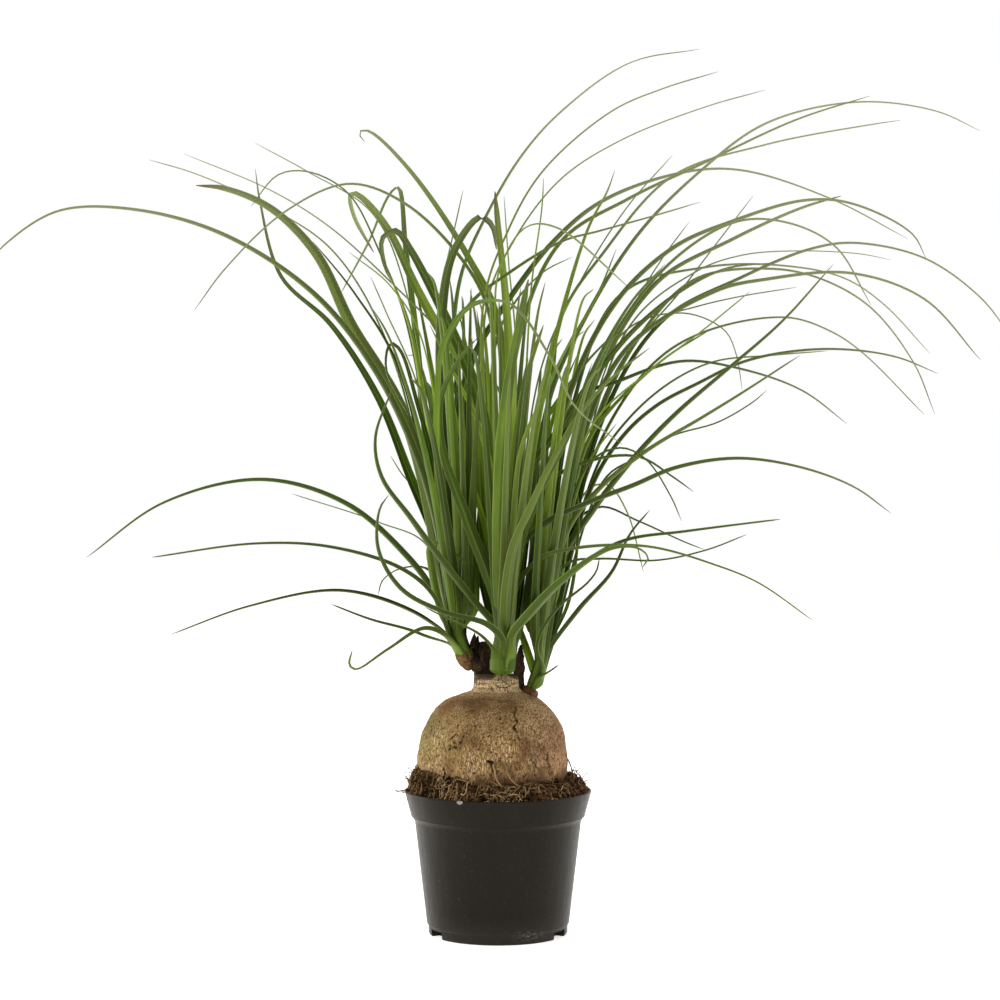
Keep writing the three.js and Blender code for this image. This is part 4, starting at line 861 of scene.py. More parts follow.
# Cracks and pits in the bark: [width, depth, [[degrees to the right of the front, height], ...]]
BARK_MARKS = [
    [0.9, 1.3, [[27, 151], [22, 147], [23, 143], [19, 139], [20, 134], [22, 130]]],
    [0.8, 1.0, [[-44, 125], [-38, 123], [-34, 127], [-29, 126], [-25, 131], [-24, 135]]],
    [0.6, 0.7, [[-39, 130], [-34, 132], [-31, 135]]],
    [1.6, 2.2, [[-4, 119], [0, 116], [2, 110]]],
    [1.7, 2.4, [[-40, 113], [-38, 107], [-36, 101]]],
    [1.3, 2.0, [[46, 121], [46, 114], [49, 107]]],
    [0.9, 1.2, [[-14, 112], [-12, 107]]],
    [0.8, 1.0, [[32, 119], [34, 113], [32, 106]]],
    [0.5, 0.6, [[8, 149], [6, 143]]],
    [0.5, 0.5, [[36, 138], [40, 131]]],
    [0.5, 0.5, [[-12, 142], [-16, 140]]],
    [0.6, 0.8, [[55, 131], [60, 123]]],
    [0.9, 1.2, [[110, 140], [118, 131], [114, 122]]],
    [1.3, 1.8, [[150, 118], [153, 109]]],
    [0.8, 1.0, [[-120, 136], [-112, 128], [-118, 119]]],
    [1.2, 1.8, [[-160, 121], [-164, 110]]],
]
SCAB = {"turn": -62, "half_turn": 16, "height": 150, "half_height": 5}

# Roughness of the bark: [height, size of its lumps, seed, how much of it the neck loses]
BARK_ROUGHNESS = [
    [0.75, [11, 11, 15], 3, 0.5],
    [0.30, [1.7, 1.7, 8], 5, 0.7],
    [0.20, [1.1, 1.1, 1.6], 9, 0],
]
RIPPLE_RISE = 0.9
RIPPLE_SIZE = 14
NECK_RING_RISE = 0.14
NECK_RINGS_PER_MM = 2.05 / (2 * math.pi)
BROKEN_TOP = [164.5, 168.5]
SPECK_DEPTH = 0.35
GREEN_HEIGHTS = [[108, 126], [144, 154]]
SOILED_HEIGHTS = [98, 117]
DEAD_HEIGHTS = [167.5, 169.8]
STUB_RING_RISE = 0.12
SCAR_BELOW_TOP = 2
SCAR_WIDTH = 0.5


def ripple(places, size):
    """The low bumps that the model's source also gives the bark and the soil."""
    u, v, w = (places / size).T
    first = np.sin(u * 1.7 + v * 0.9 + 1.3)
    second = np.sin(v * 2.3 - w * 1.1 + 0.4)
    return (first + second + np.sin(w * 1.9 + u * 1.3 + 2.6)) / 3


def distance_to_path(points, path):
    """Distance from each point to a line through the path's points."""
    nearest = np.full(len(points), np.inf)
    for start, end in itertools.pairwise(np.array(path, float)):
        along = end - start
        share = np.clip((points - start) @ along / (along @ along), 0, 1)
        apart = np.linalg.norm(points - start - share[:, None] * along, axis=1)
        nearest = np.minimum(nearest, apart)
    return nearest


def spaced_profile(profile, rings, fine_above=-np.inf, low_rings=0):
    """A smooth outline of [radius, height], with most of its rings above a height."""
    fine = catmull_rom(profile, PROFILE_POINTS)
    fine[:, 0] = np.maximum(fine[:, 0], 0.05)
    travelled = distances_along(fine)
    change = travelled[np.argmax(fine[:, 1] > fine_above)]
    stations = np.concatenate([
        np.linspace(0, change, low_rings, endpoint=False), np.linspace(change, travelled[-1], rings),
    ])
    return at_distances(fine, travelled, stations)


def outward(profile):
    """For each point of an outline, the direction square to it that points away from the axis."""
    along = np.gradient(profile, axis=0)
    return unit(np.column_stack([along[:, 1], -along[:, 0]]))


def lathe_places(profile, sides):
    """Round a Z axis: places, outward directions, and degrees to the right of the front."""
    turn = np.linspace(-math.pi, math.pi, sides, endpoint=False)
    angle = turn - math.pi / 2
    spin = np.column_stack([np.cos(angle), np.sin(angle)])
    normal = outward(profile)

    def spun(values):
        rings = np.empty((len(profile), sides, 3))
        rings[..., :2] = spin * values[:, 0, None, None]
        rings[..., 2] = values[:, 1, None]
        return rings.reshape(-1, 3)

    return spun(profile), spun(normal), np.tile(np.degrees(turn), len(profile))


def lathe_faces(rings, sides):
    quads = grid_faces(rings, sides, True).tolist()
    last = (rings - 1) * sides
    return quads + [list(range(sides))[::-1], list(range(last, last + sides))]


def mark_bark(places, turn, outline):
    """How deep the listed cracks and pits are at each place, and how dark."""
    surface = np.column_stack([np.radians(turn) * np.maximum(from_axis(places), 20), places[:, 2]])
    surface += np.column_stack([rough(places, 2.6, 61), rough(places, 2.6, 67)]) * 1.5
    wander = 0.9 * bumps(places, 1.9, 12)
    broken = ramp(rough(places, 2.2, 71), -0.55, 0.1)
    deep, dark = np.zeros(len(places)), np.zeros(len(places))
    for width, depth, path in BARK_MARKS:
        at = [[math.radians(degrees) * np.interp(up, outline[:, 1], outline[:, 0]), up]
              for degrees, up in path]
        near = distance_to_path(surface, at) / width + wander
        mark = np.exp(-np.clip(near * 2.1, 0, 9) ** 2)
        deep += depth * mark - 0.3 * np.exp(-((near - 1.8) ** 2))
        dark = np.maximum(dark, mark * broken)
    return deep, dark


def make_bulb(material):
    profile = spaced_profile(CAUDEX_PROFILE, BULB_RINGS, BULB_FINE_ABOVE, BULB_LOW_RINGS)
    places, normal, turn = lathe_places(profile, BULB_SIDES)
    height = places[:, 2]
    on_neck = ramp(height, NECK_FOOT - 1, NECK_FOOT + 3)
    relief = RIPPLE_RISE * ripple(places, RIPPLE_SIZE) * (1 - on_neck)
    for most, size, seed, lost in BARK_ROUGHNESS:
        relief += most * rough(places, size, seed) * (1 - lost * on_neck)
    turns = height * NECK_RINGS_PER_MM * 2 * math.pi
    rings = np.sin(turns + 1.3 * bumps(places, [9, 9, 30], 4)) * on_neck
    top = (1.1 * rough(places, [3, 3, 2.4], 81) - 0.5) * ramp(height, *BROKEN_TOP)
    relief += NECK_RING_RISE * rings + top
    deep, dark = mark_bark(places, turn, profile[BULB_LOW_RINGS:])
    specks = ramp(rough(places, [1.3, 1.3, 1.6], 31, 2), 0.5, 0.68)
    round_scab = ((turn - SCAB["turn"]) / SCAB["half_turn"]) ** 2
    scab = np.exp(-round_scab - ((height - SCAB["height"]) / SCAB["half_height"]) ** 2)
    relief += 0.8 * scab * rough(places, 2.4, 17) - deep - SPECK_DEPTH * specks
    places = places + normal * relief[:, None]

    side = places[:, 0] / 48
    green = ramp(-side + 0.2 * rough(places, 12, 21), 0.3, 0.95)
    greens_from, greens_until = (ramp(height, *heights) for heights in GREEN_HEIGHTS)
    broken_top = 2.6 * rough(places, 3, 83) + 0.15 * np.abs(places[:, 0] - 2)
    values = {
        "bark": places * MM,
        "crack": np.clip(dark + 0.75 * specks, 0, 1),
        "green": green * greens_from * (1 - greens_until),
        "pink": ramp(side + 0.25 * rough(places, 9, 23), 0.3, 0.95) * (1 - on_neck),
        "soiled": 1 - ramp(height + 9 * rough(places, 8, 25), *SOILED_HEIGHTS),
        "neck": on_neck,
        "groove": on_neck * np.clip(-rings, 0, 1),
        "scab": np.clip(scab * 1.4, 0, 1),
        "dead": ramp(height + broken_top, *DEAD_HEIGHTS),
    }
    places[:, 0] += CAUDEX_X + NECK_SHIFT * np.interp(height, NECK_SHIFT_HEIGHTS, [0, 1])
    made = new_mesh("bulb", places * MM, lathe_faces(len(profile), BULB_SIDES), values)
    piece(made, material, ["caudex"])


def aimed(places, start, direction):
    """Places along Z turned to lie along a direction from a start."""
    direction = direction / np.linalg.norm(direction)
    side = np.cross([0, 1, 0], direction)
    side /= np.linalg.norm(side)
    back = np.cross(direction, side)
    return places @ np.array([side, back, direction]) + start


def make_stub(name, start, end, profile, relief_size, ring_size, material):
    """A short branch or leaf base: an outline of [radius, distance along it] with a rough skin."""
    outline = spaced_profile(profile, STUB_RINGS)
    places, normal, _ = lathe_places(outline, STUB_SIDES)
    along, low, top = places[:, 2], outline[0, 1], outline[-1, 1]
    rings = np.sin(along * 2.4 + 2.2 * bumps(places, [5, 5, 9], 6)) * ring_size
    relief = rough(places, [3.2, 3.2, 4.2], 41) + rings + 0.5 * rough(places, [0.9, 0.9, 3.4], 43)
    from_scar = along - (top - SCAR_BELOW_TOP) + 0.5 * rough(places, 2.4, 89)
    raised = relief_size * relief * ramp(along, low, low + 1)
    start, end = np.array(start, float), np.array(end, float)
    placed = aimed(places + normal * raised[:, None], start, end - start)
    values = {
        "bark": placed * MM,
        "neck": np.ones(len(placed)),
        "crack": np.exp(-(from_scar / SCAR_WIDTH) ** 2),
        "groove": np.clip(-rings * 0.6 - relief * 0.8, 0, 1),
    }
    made = new_mesh(name, placed * MM, lathe_faces(len(outline), STUB_SIDES), values)
    piece(made, material)


def stub_outline(length, first, last, broken):
    """Rows of [radius, distance along it]. A broken stub ends in a ragged point."""
    foot = [[0.1, -2], [first * 0.9, -1.6], [first, 0], [mix(first, last, 0.6), length * 0.6]]
    if broken:
        return foot + [[last * 0.95, length - 5], [last * 0.6, length], [0.1, length + 1.6]]
    return foot + [[last, length - 0.8], [last * 0.85, length], [0.1, length + 0.3]]


def make_stubs(finishes):
    for name, stub in STUBS.items():
        start, end = np.array(stub["from"], float), np.array(stub["to"], float)
        profile = stub_outline(np.linalg.norm(end - start), *stub["radii"], name == "dark")
        finish = finishes[stub["finish"]]
        make_stub(f"branch_{name}", start, end, profile, stub["relief"], STUB_RING_RISE, finish)
    foot = np.array(HEADS["left"]["foot"]) + LEAF_BASE_SHIFT
    tip = foot + HEADS["left"]["lean"]
    make_stub("leaf_base_left", foot, tip, LEAF_BASE, 0.6, 0.15, finishes["left"])
    make_stub("branch_back", *DEAD_BRANCH_ENDS, DEAD_BRANCH, 0.8, 0.08, finishes["dark"])


# Dry brown remains of old leaf bases on the branches: [across, depth, up, degrees, size]
SCRAPS = [
    [-13.5, 0.4, 178, 250, 4.5], [-10, -0.2, 180, 275, 5], [-7, 0.6, 176, 290, 4.5],
    [-12, 2, 185, 255, 4], [-14.5, 3, 186, 265, 6.5], [-15.5, 4.5, 190, 280, 7.5],
    [-13, 5, 188, 300, 6.5], [-16.5, 3.6, 182, 240, 5.5], [16.5, 2, 168, 300, 3.5],
    [17, 4, 179, 330, 3], [12, 9, 178, 60, 6], [4, 12, 182, 90, 6], [-4, 14, 178, 110, 6],
    [16, 8, 172, 40, 5], [-16, 10, 176, 140, 5], [-24, 8, 178, 120, 4.5], [8, 9, 172, 75, 5],
]
SCRAP_SEED = 5
SCRAP_GRID = [12, 9]
SCRAP_THICKNESS = 0.35


def flake_faces(rows, columns):
    """Faces of a thin flake whose back has the same grid of points as its front."""
    count = rows * columns
    quads = grid_faces(rows, columns, False)
    rim = np.concatenate([
        np.arange(columns), np.arange(1, rows) * columns + columns - 1,
        np.arange(count - 2, count - columns - 1, -1), np.arange(rows - 2, 0, -1) * columns,
    ])
    after = np.roll(rim, -1)
    wall = np.column_stack([after, rim, rim + count, after + count])
    return np.vstack([quads, quads[:, ::-1] + count, wall])


def make_scraps(material):
    """Curved torn flakes that stand off the branches."""
    random = np.random.default_rng(SCRAP_SEED)
    rows, columns = SCRAP_GRID
    across = np.tile(np.linspace(-1, 1, columns), rows)
    up = np.repeat(np.linspace(0, 1, rows), columns)
    parts = []
    for x, y, z, degrees, size in SCRAPS:
        heading = math.radians(degrees)
        out = np.array([math.cos(heading), math.sin(heading), 0])
        side = np.array([-out[1], out[0], 0])
        torn = 1 + 0.1 * bumps(np.column_stack([across * 4, up * 0, np.full_like(up, x)]), 1)
        width = size * 0.42 * (1 - 0.96 * up**1.6)
        tall = size * 1.35 * up * torn
        bow = size * (0.30 * up**2 * random.uniform(-0.2, 1.2) - 0.28 * across**2)
        front = np.array([x, y, z]) + np.outer(across * width, side)
        front = front + np.outer(bow, out) + np.outer(tall - size * 0.4, UP)
        points = np.vstack([front, front - out * SCRAP_THICKNESS]) * MM
        values = {"bark": points, "groove": np.full(len(points), random.random())}
        parts.append((points, flake_faces(rows, columns), values))
    piece(new_mesh("dry_scraps", *joined(parts)), material)


# Soil, crumbs, fibres and roots

def heap_height(places):
    """How far the heap on one side lifts the soil at each place."""
    side = math.radians(SOIL_HEAP_ANGLE)
    reach = from_axis(places)
    toward = places[:, :2] @ [math.cos(side), math.sin(side)] / np.maximum(1, reach)
    inside = np.clip((SOIL_HEAP_EDGE - reach) / SOIL_HEAP_SLOPE, 0, 1)
    return SOIL_HEAP_RISE * np.clip(toward, 0, 1) ** 1.5 * inside


def crown_height(places):
    """Height of the soil at each place, without its lumps."""
    outline = np.array(SOIL_CROWN[::-1])
    return np.interp(from_axis(places), outline[:, 0], outline[:, 1]) + heap_height(places)


def soil_lumps(places):
    return 1.5 * ripple(places, 7) + 1.3 * rough(places, 5.5, 51) + 0.55 * rough(places, 1.8, 53)


def make_soil(material):
    profile = np.vstack([SOIL_WALL, catmull_rom(SOIL_CROWN, CROWN_RINGS), SOIL_HOLLOW])
    places, normal, _ = lathe_places(profile, SOIL_SIDES)
    loose = ramp(places[:, 2], 90, 93) * ramp(from_axis(places), 38, 43)
    lumps = soil_lumps(places) * loose
    places = places + UP * (heap_height(places) * ramp(places[:, 2], 91.6, 93.4))[:, None]
    places = places + (normal * SOIL_LUMP_OUT + UP * SOIL_LUMP_UP) * lumps[:, None]
    most = mix(*SOIL_EDGE_RADII, ramp(places[:, 2], *SOIL_EDGE_HEIGHTS))
    places[:, :2] *= np.minimum(1, most / np.maximum(from_axis(places), 1))[:, None]
    values = {"grain": places * MM, "shade": np.clip(0.5 + lumps * 0.25, 0, 1)}
    made = new_mesh("soil", places * MM, lathe_faces(len(profile), SOIL_SIDES), values)
    piece(made, material, ["potting_soil"])


def crumb_shape():
    """The corners and faces of a small rounded lump."""
    golden = (1 + math.sqrt(5)) / 2
    corners = [p for a, b in itertools.product((-1, 1), (-golden, golden))
               for p in ((0, a, b), (a, b, 0), (b, 0, a))]
    corners = np.array(corners) / math.hypot(1, golden)
    faces = []
    for trio in itertools.combinations(range(CRUMB_CORNERS), 3):
        a, b, c = corners[list(trio)]
        if max(np.linalg.norm(a - b), np.linalg.norm(b - c), np.linalg.norm(c - a)) < 1.1:
            outside = np.cross(b - a, c - a) @ a > 0
            faces.append(trio if outside else trio[::-1])
    return corners, np.array(faces)


def on_crown(random, count, low, high):
    """Random places on the soil's crown."""
    radius = np.sqrt(random.uniform(low**2, high**2, count))
    angle = random.uniform(-math.pi, math.pi, count)
    places = np.column_stack([np.cos(angle) * radius, np.sin(angle) * radius, radius * 0])
    places[:, 2] = crown_height(places)
    return places


def make_crumbs(material):
    random = np.random.default_rng(CRUMB_SEED)
    corners, faces = crumb_shape()
    centres = on_crown(random, CRUMB_COUNT, *CRUMB_RADII)
    centres[:, 2] += soil_lumps(centres) * 0.9 + 0.2
    parts = []
    for centre in centres:
        size = 0.9 * random.uniform(*CRUMB_SIZES) ** 1.2
        shape = corners * random.uniform(0.6, 1.3, 3)
        shape *= 1 + 0.25 * random.uniform(-1, 1, (CRUMB_CORNERS, 1))
        points = centre + shape * size
        values = {"grain": points * MM, "shade": np.full(CRUMB_CORNERS, random.random() ** 1.5)}
        parts.append((points * MM, faces, values))
    piece(new_mesh("soil_crumbs", *joined(parts), smooth=False), material)


def tube(path, radii, sides, values):
    """A thin closed tube along a path, in millimetres, with the same values all over."""
    along = np.gradient(path, axis=0)
    along /= np.linalg.norm(along, axis=1)[:, None] + 1e-9
    side = np.cross(along, [0.31, 0.17, 0.94])
    side /= np.linalg.norm(side, axis=1)[:, None] + 1e-9
    back = np.cross(along, side)
    angle = np.linspace(0, 2 * math.pi, sides, endpoint=False)
    ring = side[:, None, :] * np.cos(angle)[:, None] + back[:, None, :] * np.sin(angle)[:, None]
    radii = radii.copy()
    radii[-1] = 0.02
    points = (path[:, None, :] + ring * radii[:, None, None]).reshape(-1, 3)
    count = len(points)
    named = {"grain": points * MM, **{key: np.full(count, value) for key, value in values.items()}}
    return points * MM, grid_faces(len(path), sides, True), named


def fibre_path(random, start, heading, length, lift):
    """A curled thread that leaves the soil, rises a little and comes down again."""
    steps = FIBRE_STEPS
    turns = np.cumsum(random.normal(0, FIBRE_CURL, steps))
    turns += np.linspace(0, random.normal(0, 1.4), steps)
    angle = heading + turns
    move = np.column_stack([np.cos(angle), np.sin(angle)]) * length / steps
    flat = start[:2] + np.cumsum(move, axis=0)
    reach = from_axis(flat)
    share = np.linspace(0, 1, steps)
    kept = flat * np.clip(FIBRE_REACH / np.maximum(reach, 1), 0, 1)[:, None]
    ground = crown_height(kept) + 0.9 * soil_lumps(np.column_stack([kept, reach]))
    return np.column_stack([kept, ground + lift * np.sin(math.pi * share) - 0.2])


def make_fibres(material):
    random = np.random.default_rng(FIBRE_SEED)
    parts = []
    for start in on_crown(random, FIBRE_COUNT, *FIBRE_RADII):
        thick = random.choice([0.14, 0.2, 0.28, 0.42], p=[0.28, 0.34, 0.26, 0.12])
        length = random.uniform(6, 26)
        lift = random.uniform(0.2, 2.6) * (1.8 if random.random() < 0.15 else 1)
        along_rim = math.atan2(start[1], start[0]) + random.choice([-1, 1]) * math.pi / 2
        heading = along_rim + random.normal(0, 0.55)
        path = fibre_path(random, start, heading, length, lift)
        radii = thick * np.linspace(1, 0.45, len(path))
        parts.append(tube(path, radii, 4, {"shade": random.random()}))
    parts += stray_fibres(random)
    piece(new_mesh("soil_fibres", *joined(parts)), material)


# Fibres that stand out over the rim, each from its root to its tip as [across, depth, up]
STRAYS = [
    [[-56, -14, 93], [-67, -18, 94.5]], [[-54, -18, 96], [-61, -20, 106]],
    [[-52, -8, 98], [-59, -6, 112]], [[-50, -16, 99], [-47, -20, 113]],
    [[-55, -5, 96], [-63, -2, 103]], [[-49, -24, 99], [-54, -28, 109]],
    [[53, -10, 97], [60, -12, 102]], [[50, -4, 100], [55, -2, 110]],
    [[48, -12, 101], [50, -16, 112]], [[46, -16, 102], [47, -20, 115]],
    [[40, 38, 99], [47, 44, 109]], [[-20, 50, 99], [-24, 57, 110]],
    [[10, 52, 99], [16, 58, 108]], [[-44, 32, 99], [-52, 38, 108]],
    [[55, 14, 96], [61, 17, 104]], [[-55, -10, 96], [-62, -14, 109]],
    [[-50, -26, 98], [-57, -29, 112]], [[-57, -2, 95], [-60, -9, 113]],
]
STRAY_STEPS = 14
SIDE_FIBRES = 3
TWIG = [[-54, -15, 95], [-60, -18, 96], [-64, -19, 95.4], [-67.5, -20, 96]]
TWIG_STEPS = 20


def stray_fibres(random):
    """The twig over the rim, and the fibres that stand out over it, with finer ones on them."""
    twig = catmull_rom(TWIG, TWIG_STEPS)
    parts = [tube(twig, np.linspace(0.6, 0.3, len(twig)), 6, {"shade": 0.1})]
    share = np.linspace(0, 1, STRAY_STEPS)[:, None]
    for root, tip in np.array(STRAYS, float):
        sway = np.cross(tip - root, [0.3, 0.5, 0.8]) * random.uniform(-0.3, 0.3)
        path = mix(root - UP, tip, share) + sway * np.sin(math.pi * share * 1.3)
        path += UP * 1.5 * np.sin(math.pi * share)
        radii = np.linspace(0.32, 0.15, STRAY_STEPS)
        parts.append(tube(path, radii, 4, {"shade": random.uniform(0, 0.6)}))
        for _ in range(SIDE_FIBRES):
            start = mix(root, tip, random.uniform(0.1, 0.7))
            end = start + random.normal(0, 3.4, 3) + UP * 1.5
            bow = np.cross(end - start, UP) * 0.4 * np.sin(math.pi * share)
            radii = np.linspace(0.22, 0.1, STRAY_STEPS)
            shade = random.uniform(0, 0.7)
            parts.append(tube(mix(start, end, share) + bow, radii, 4, {"shade": shade}))
    return parts


def make_roots(material):
    """Pale roots that come out of the bark and go down into the soil."""
    random = np.random.default_rng(ROOT_SEED)
    parts = []
    radii, heights = zip(*CAUDEX_PROFILE[4:9])
    for listed in ROOT_PATHS:
        path = []
        for x, z in listed:
            bark = np.interp(z, heights, radii)
            off = 0.4 + ROOT_SLOPE * (ROOT_TOP - min(z, ROOT_TOP))
            y = -math.sqrt(max((bark + off) ** 2 - (x - CAUDEX_X) ** 2, 4))
            path.append([x, y, z])
        line = catmull_rom(path, ROOT_STEPS)
        line += 0.5 * np.column_stack([bumps(line + k * 9, 3.2, 61 + k) for k in range(3)])
        thick = np.linspace(0.6, 0.22, len(line))
        parts.append(tube(line, thick, 8, {"shade": random.uniform(0.2, 0.7)}))
    piece(new_mesh("roots", *joined(parts)), material)


# Pot

def pot_outline():
    """Radius and height round the moulded wall, from the centre pad out, up, and down inside."""
    ring_inner = FOOT_RADIUS - 7
    return [
        [0.1, 0], [CENTRE_PAD_RADIUS, 0], [CENTRE_PAD_RADIUS + 2, FLOOR_RECESS],
        [ring_inner - 2, FLOOR_RECESS], [ring_inner, 0.2], [ring_inner + 0.5, 0], [FOOT_RADIUS - 0.9, 0],
        [FOOT_RADIUS - 0.3, 0.25], [FOOT_RADIUS, 0.9], [CREASE_RADIUS - 0.9, CREASE_HEIGHT - 1],
        [CREASE_RADIUS - 0.75, CREASE_HEIGHT - 0.1], [CREASE_RADIUS - 0.4, CREASE_HEIGHT + 0.5],
        [CREASE_RADIUS, CREASE_HEIGHT + 0.9], [CREASE_RADIUS + 0.2, CREASE_HEIGHT + 1.8],
        [mix(CREASE_RADIUS, SHOULDER_RADIUS, 0.5), 40], [SHOULDER_RADIUS - 0.15, LEDGE_FOOT - 1],
        [SHOULDER_RADIUS, LEDGE_FOOT], [SHOULDER_RADIUS + 0.5, LEDGE_FOOT + 0.9],
        [COLLAR_LOW_RADIUS - 0.9, COLLAR_FOOT - 0.4], [COLLAR_LOW_RADIUS - 0.2, COLLAR_FOOT + 0.1],
        [COLLAR_LOW_RADIUS, COLLAR_FOOT + 0.8], [RIM_RADIUS - 0.12, POT_HEIGHT - 1.1],
        [RIM_RADIUS - 0.05, POT_HEIGHT - 0.5], [RIM_RADIUS - 0.35, POT_HEIGHT - 0.1],
        [RIM_RADIUS - 0.7, POT_HEIGHT], [RIM_RADIUS - POT_WALL + 0.2, POT_HEIGHT - 0.1],
        [RIM_RADIUS - POT_WALL, POT_HEIGHT - 0.5], [COLLAR_LOW_RADIUS - POT_WALL, COLLAR_FOOT + 1],
        [SHOULDER_RADIUS - POT_WALL, LEDGE_FOOT - 0.5], [CREASE_RADIUS - POT_WALL, POT_FLOOR + 2],
        [CREASE_RADIUS - POT_WALL - 2, POT_FLOOR], [0.1, POT_FLOOR],
    ]


def make_pot(material):
    profile = np.array(pot_outline())
    places = lathe_places(profile, POT_SIDES)[0]
    made = new_mesh("pot", places * MM, lathe_faces(len(profile), POT_SIDES))
    for angle in NOTCH_ANGLES:
        cut_notch(made, math.radians(angle))
    made.data.polygons.foreach_set("use_smooth", [True] * len(made.data.polygons))
    made.data.set_sharp_from_angle(angle=math.radians(POT_EDGE_ANGLE))
    piece(made, material, ["nursery_pot"])


def cut_notch(pot, angle):
    """Cuts one drain notch out of the foot."""
    deep, wide, tall = (size * MM / 2 for size in NOTCH_SIZE)
    out = np.array([math.cos(angle), math.sin(angle), 0])
    side = np.array([-math.sin(angle), math.cos(angle), 0])
    centre = out * (FOOT_RADIUS - 1) * MM
    corners = [centre + out * a * deep + side * b * wide + UP * c * tall
               for a, b, c in itertools.product((-1, 1), repeat=3)]
    faces = [[0, 1, 3, 2], [4, 6, 7, 5], [0, 4, 5, 1], [2, 3, 7, 6], [0, 2, 6, 4], [1, 5, 7, 3]]
    cutter = new_mesh("notch_cutter", corners, faces, smooth=False)
    cut = pot.modifiers.new("notch", "BOOLEAN")
    cut.operation, cut.object, cut.solver = "DIFFERENCE", cutter, "EXACT"
    evaluated = pot.evaluated_get(bpy.context.evaluated_depsgraph_get())
    cut_mesh = bpy.data.meshes.new_from_object(evaluated)
    pot.modifiers.remove(cut)
    pot.data = cut_mesh
    bpy.data.objects.remove(cutter)


# Finishes

def tone_of(red, green, blue):
    """A screen colour of 0 to 255 as the linear colour that a shader takes."""
    parts = [value / 255 for value in (red, green, blue)]
    return (*[((v + 0.055) / 1.055) ** 2.4 if v > 0.04045 else v / 12.92 for v in parts], 1.0)


class Finish:
    """A material whose nodes are added one call at a time."""

    def __init__(self, name, roughness, specular):
        self.material = bpy.data.materials.new(name)
        self.material.use_nodes = True
        self.nodes = self.material.node_tree.nodes
        self.links = self.material.node_tree.links
        self.shader = self.nodes["Principled BSDF"]
        self.shader.inputs["Roughness"].default_value = roughness
        self.shader.inputs["Specular IOR Level"].default_value = specular

    def feed(self, socket, value):
        if isinstance(value, bpy.types.NodeSocket):
            self.links.new(value, socket)
        else:
            socket.default_value = value

    def node(self, kind, inputs, **settings):
        made = self.nodes.new("ShaderNode" + kind)
        for key, value in settings.items():
            setattr(made, key, value)
        for key, value in inputs.items():
            self.feed(made.inputs[key], value)
        return made

    def number(self, name):
        return self.node("Attribute", {}, attribute_name=name).outputs["Fac"]

    def vector(self, name):
        return self.node("Attribute", {}, attribute_name=name).outputs["Vector"]

    def scaled(self, vector, scale):
        return self.node("VectorMath", {0: vector, 1: scale}, operation="MULTIPLY").outputs[0]

    def noise(self, vector, scale, detail=3, roughness=0.55):
        inputs = {
            "Vector": self.scaled(vector, scale), "Scale": 1, "Detail": detail,
            "Roughness": roughness,
        }
        return self.node("TexNoise", inputs).outputs["Fac"]

    def step(self, value, low, high, start=0.0, end=1.0):
        inputs = {0: value, 1: low, 2: high, 3: start, 4: end}
        return self.node("MapRange", inputs, interpolation_type="SMOOTHSTEP").outputs[0]

    def maths(self, operation, first, second=0.0):
        return self.node("Math", {0: first, 1: second}, operation=operation).outputs[0]

    def plus(self, first, second):
        return self.maths("ADD", first, second)

    def times(self, first, second):
        return self.maths("MULTIPLY", first, second)

    def blend(self, share, first, second, mode="MIX"):
        made = self.node("Mix", {0: share, 6: first, 7: second}, data_type="RGBA", blend_type=mode)
        return made.outputs[2]

    def layered(self, colour, layers):
        """The colour with screen colours laid over it in turn, as rows of (share, colour)."""
        for share, tone in layers:
            colour = self.blend(share, colour, tone_of(*tone))
        return colour

    def ramp(self, value, stops):
        made = self.node("ValToRGB", {0: value})
        elements = made.color_ramp.elements
        while len(elements) < len(stops):
            elements.new(0.5)
        for element, (place, colour) in zip(elements, stops):
            element.position = place
            element.color = colour
        return made.outputs[0]

    def tones(self, value, stops):
        """A ramp through rows of (place, screen colour)."""
        return self.ramp(value, [(place, tone_of(*tone)) for place, tone in stops])

    def shaded(self, colour, value, dark, light):
        """The colour times a grey that goes from dark to light as the value goes from 0 to 1."""
        ends = [(0, (dark, dark, dark, 1)), (1, (light, light, light, 1))]
        return self.blend(1.0, colour, self.ramp(value, ends), "MULTIPLY")

    def finish(self, colour, height, depth, roughness=None):
        bump = self.node("Bump", {"Height": height, "Distance": depth, "Strength": 1.0})
        self.feed(self.shader.inputs["Base Color"], colour)
        self.feed(self.shader.inputs["Normal"], bump.outputs[0])
        if roughness is not None:
            self.feed(self.shader.inputs["Roughness"], roughness)
        return self.material


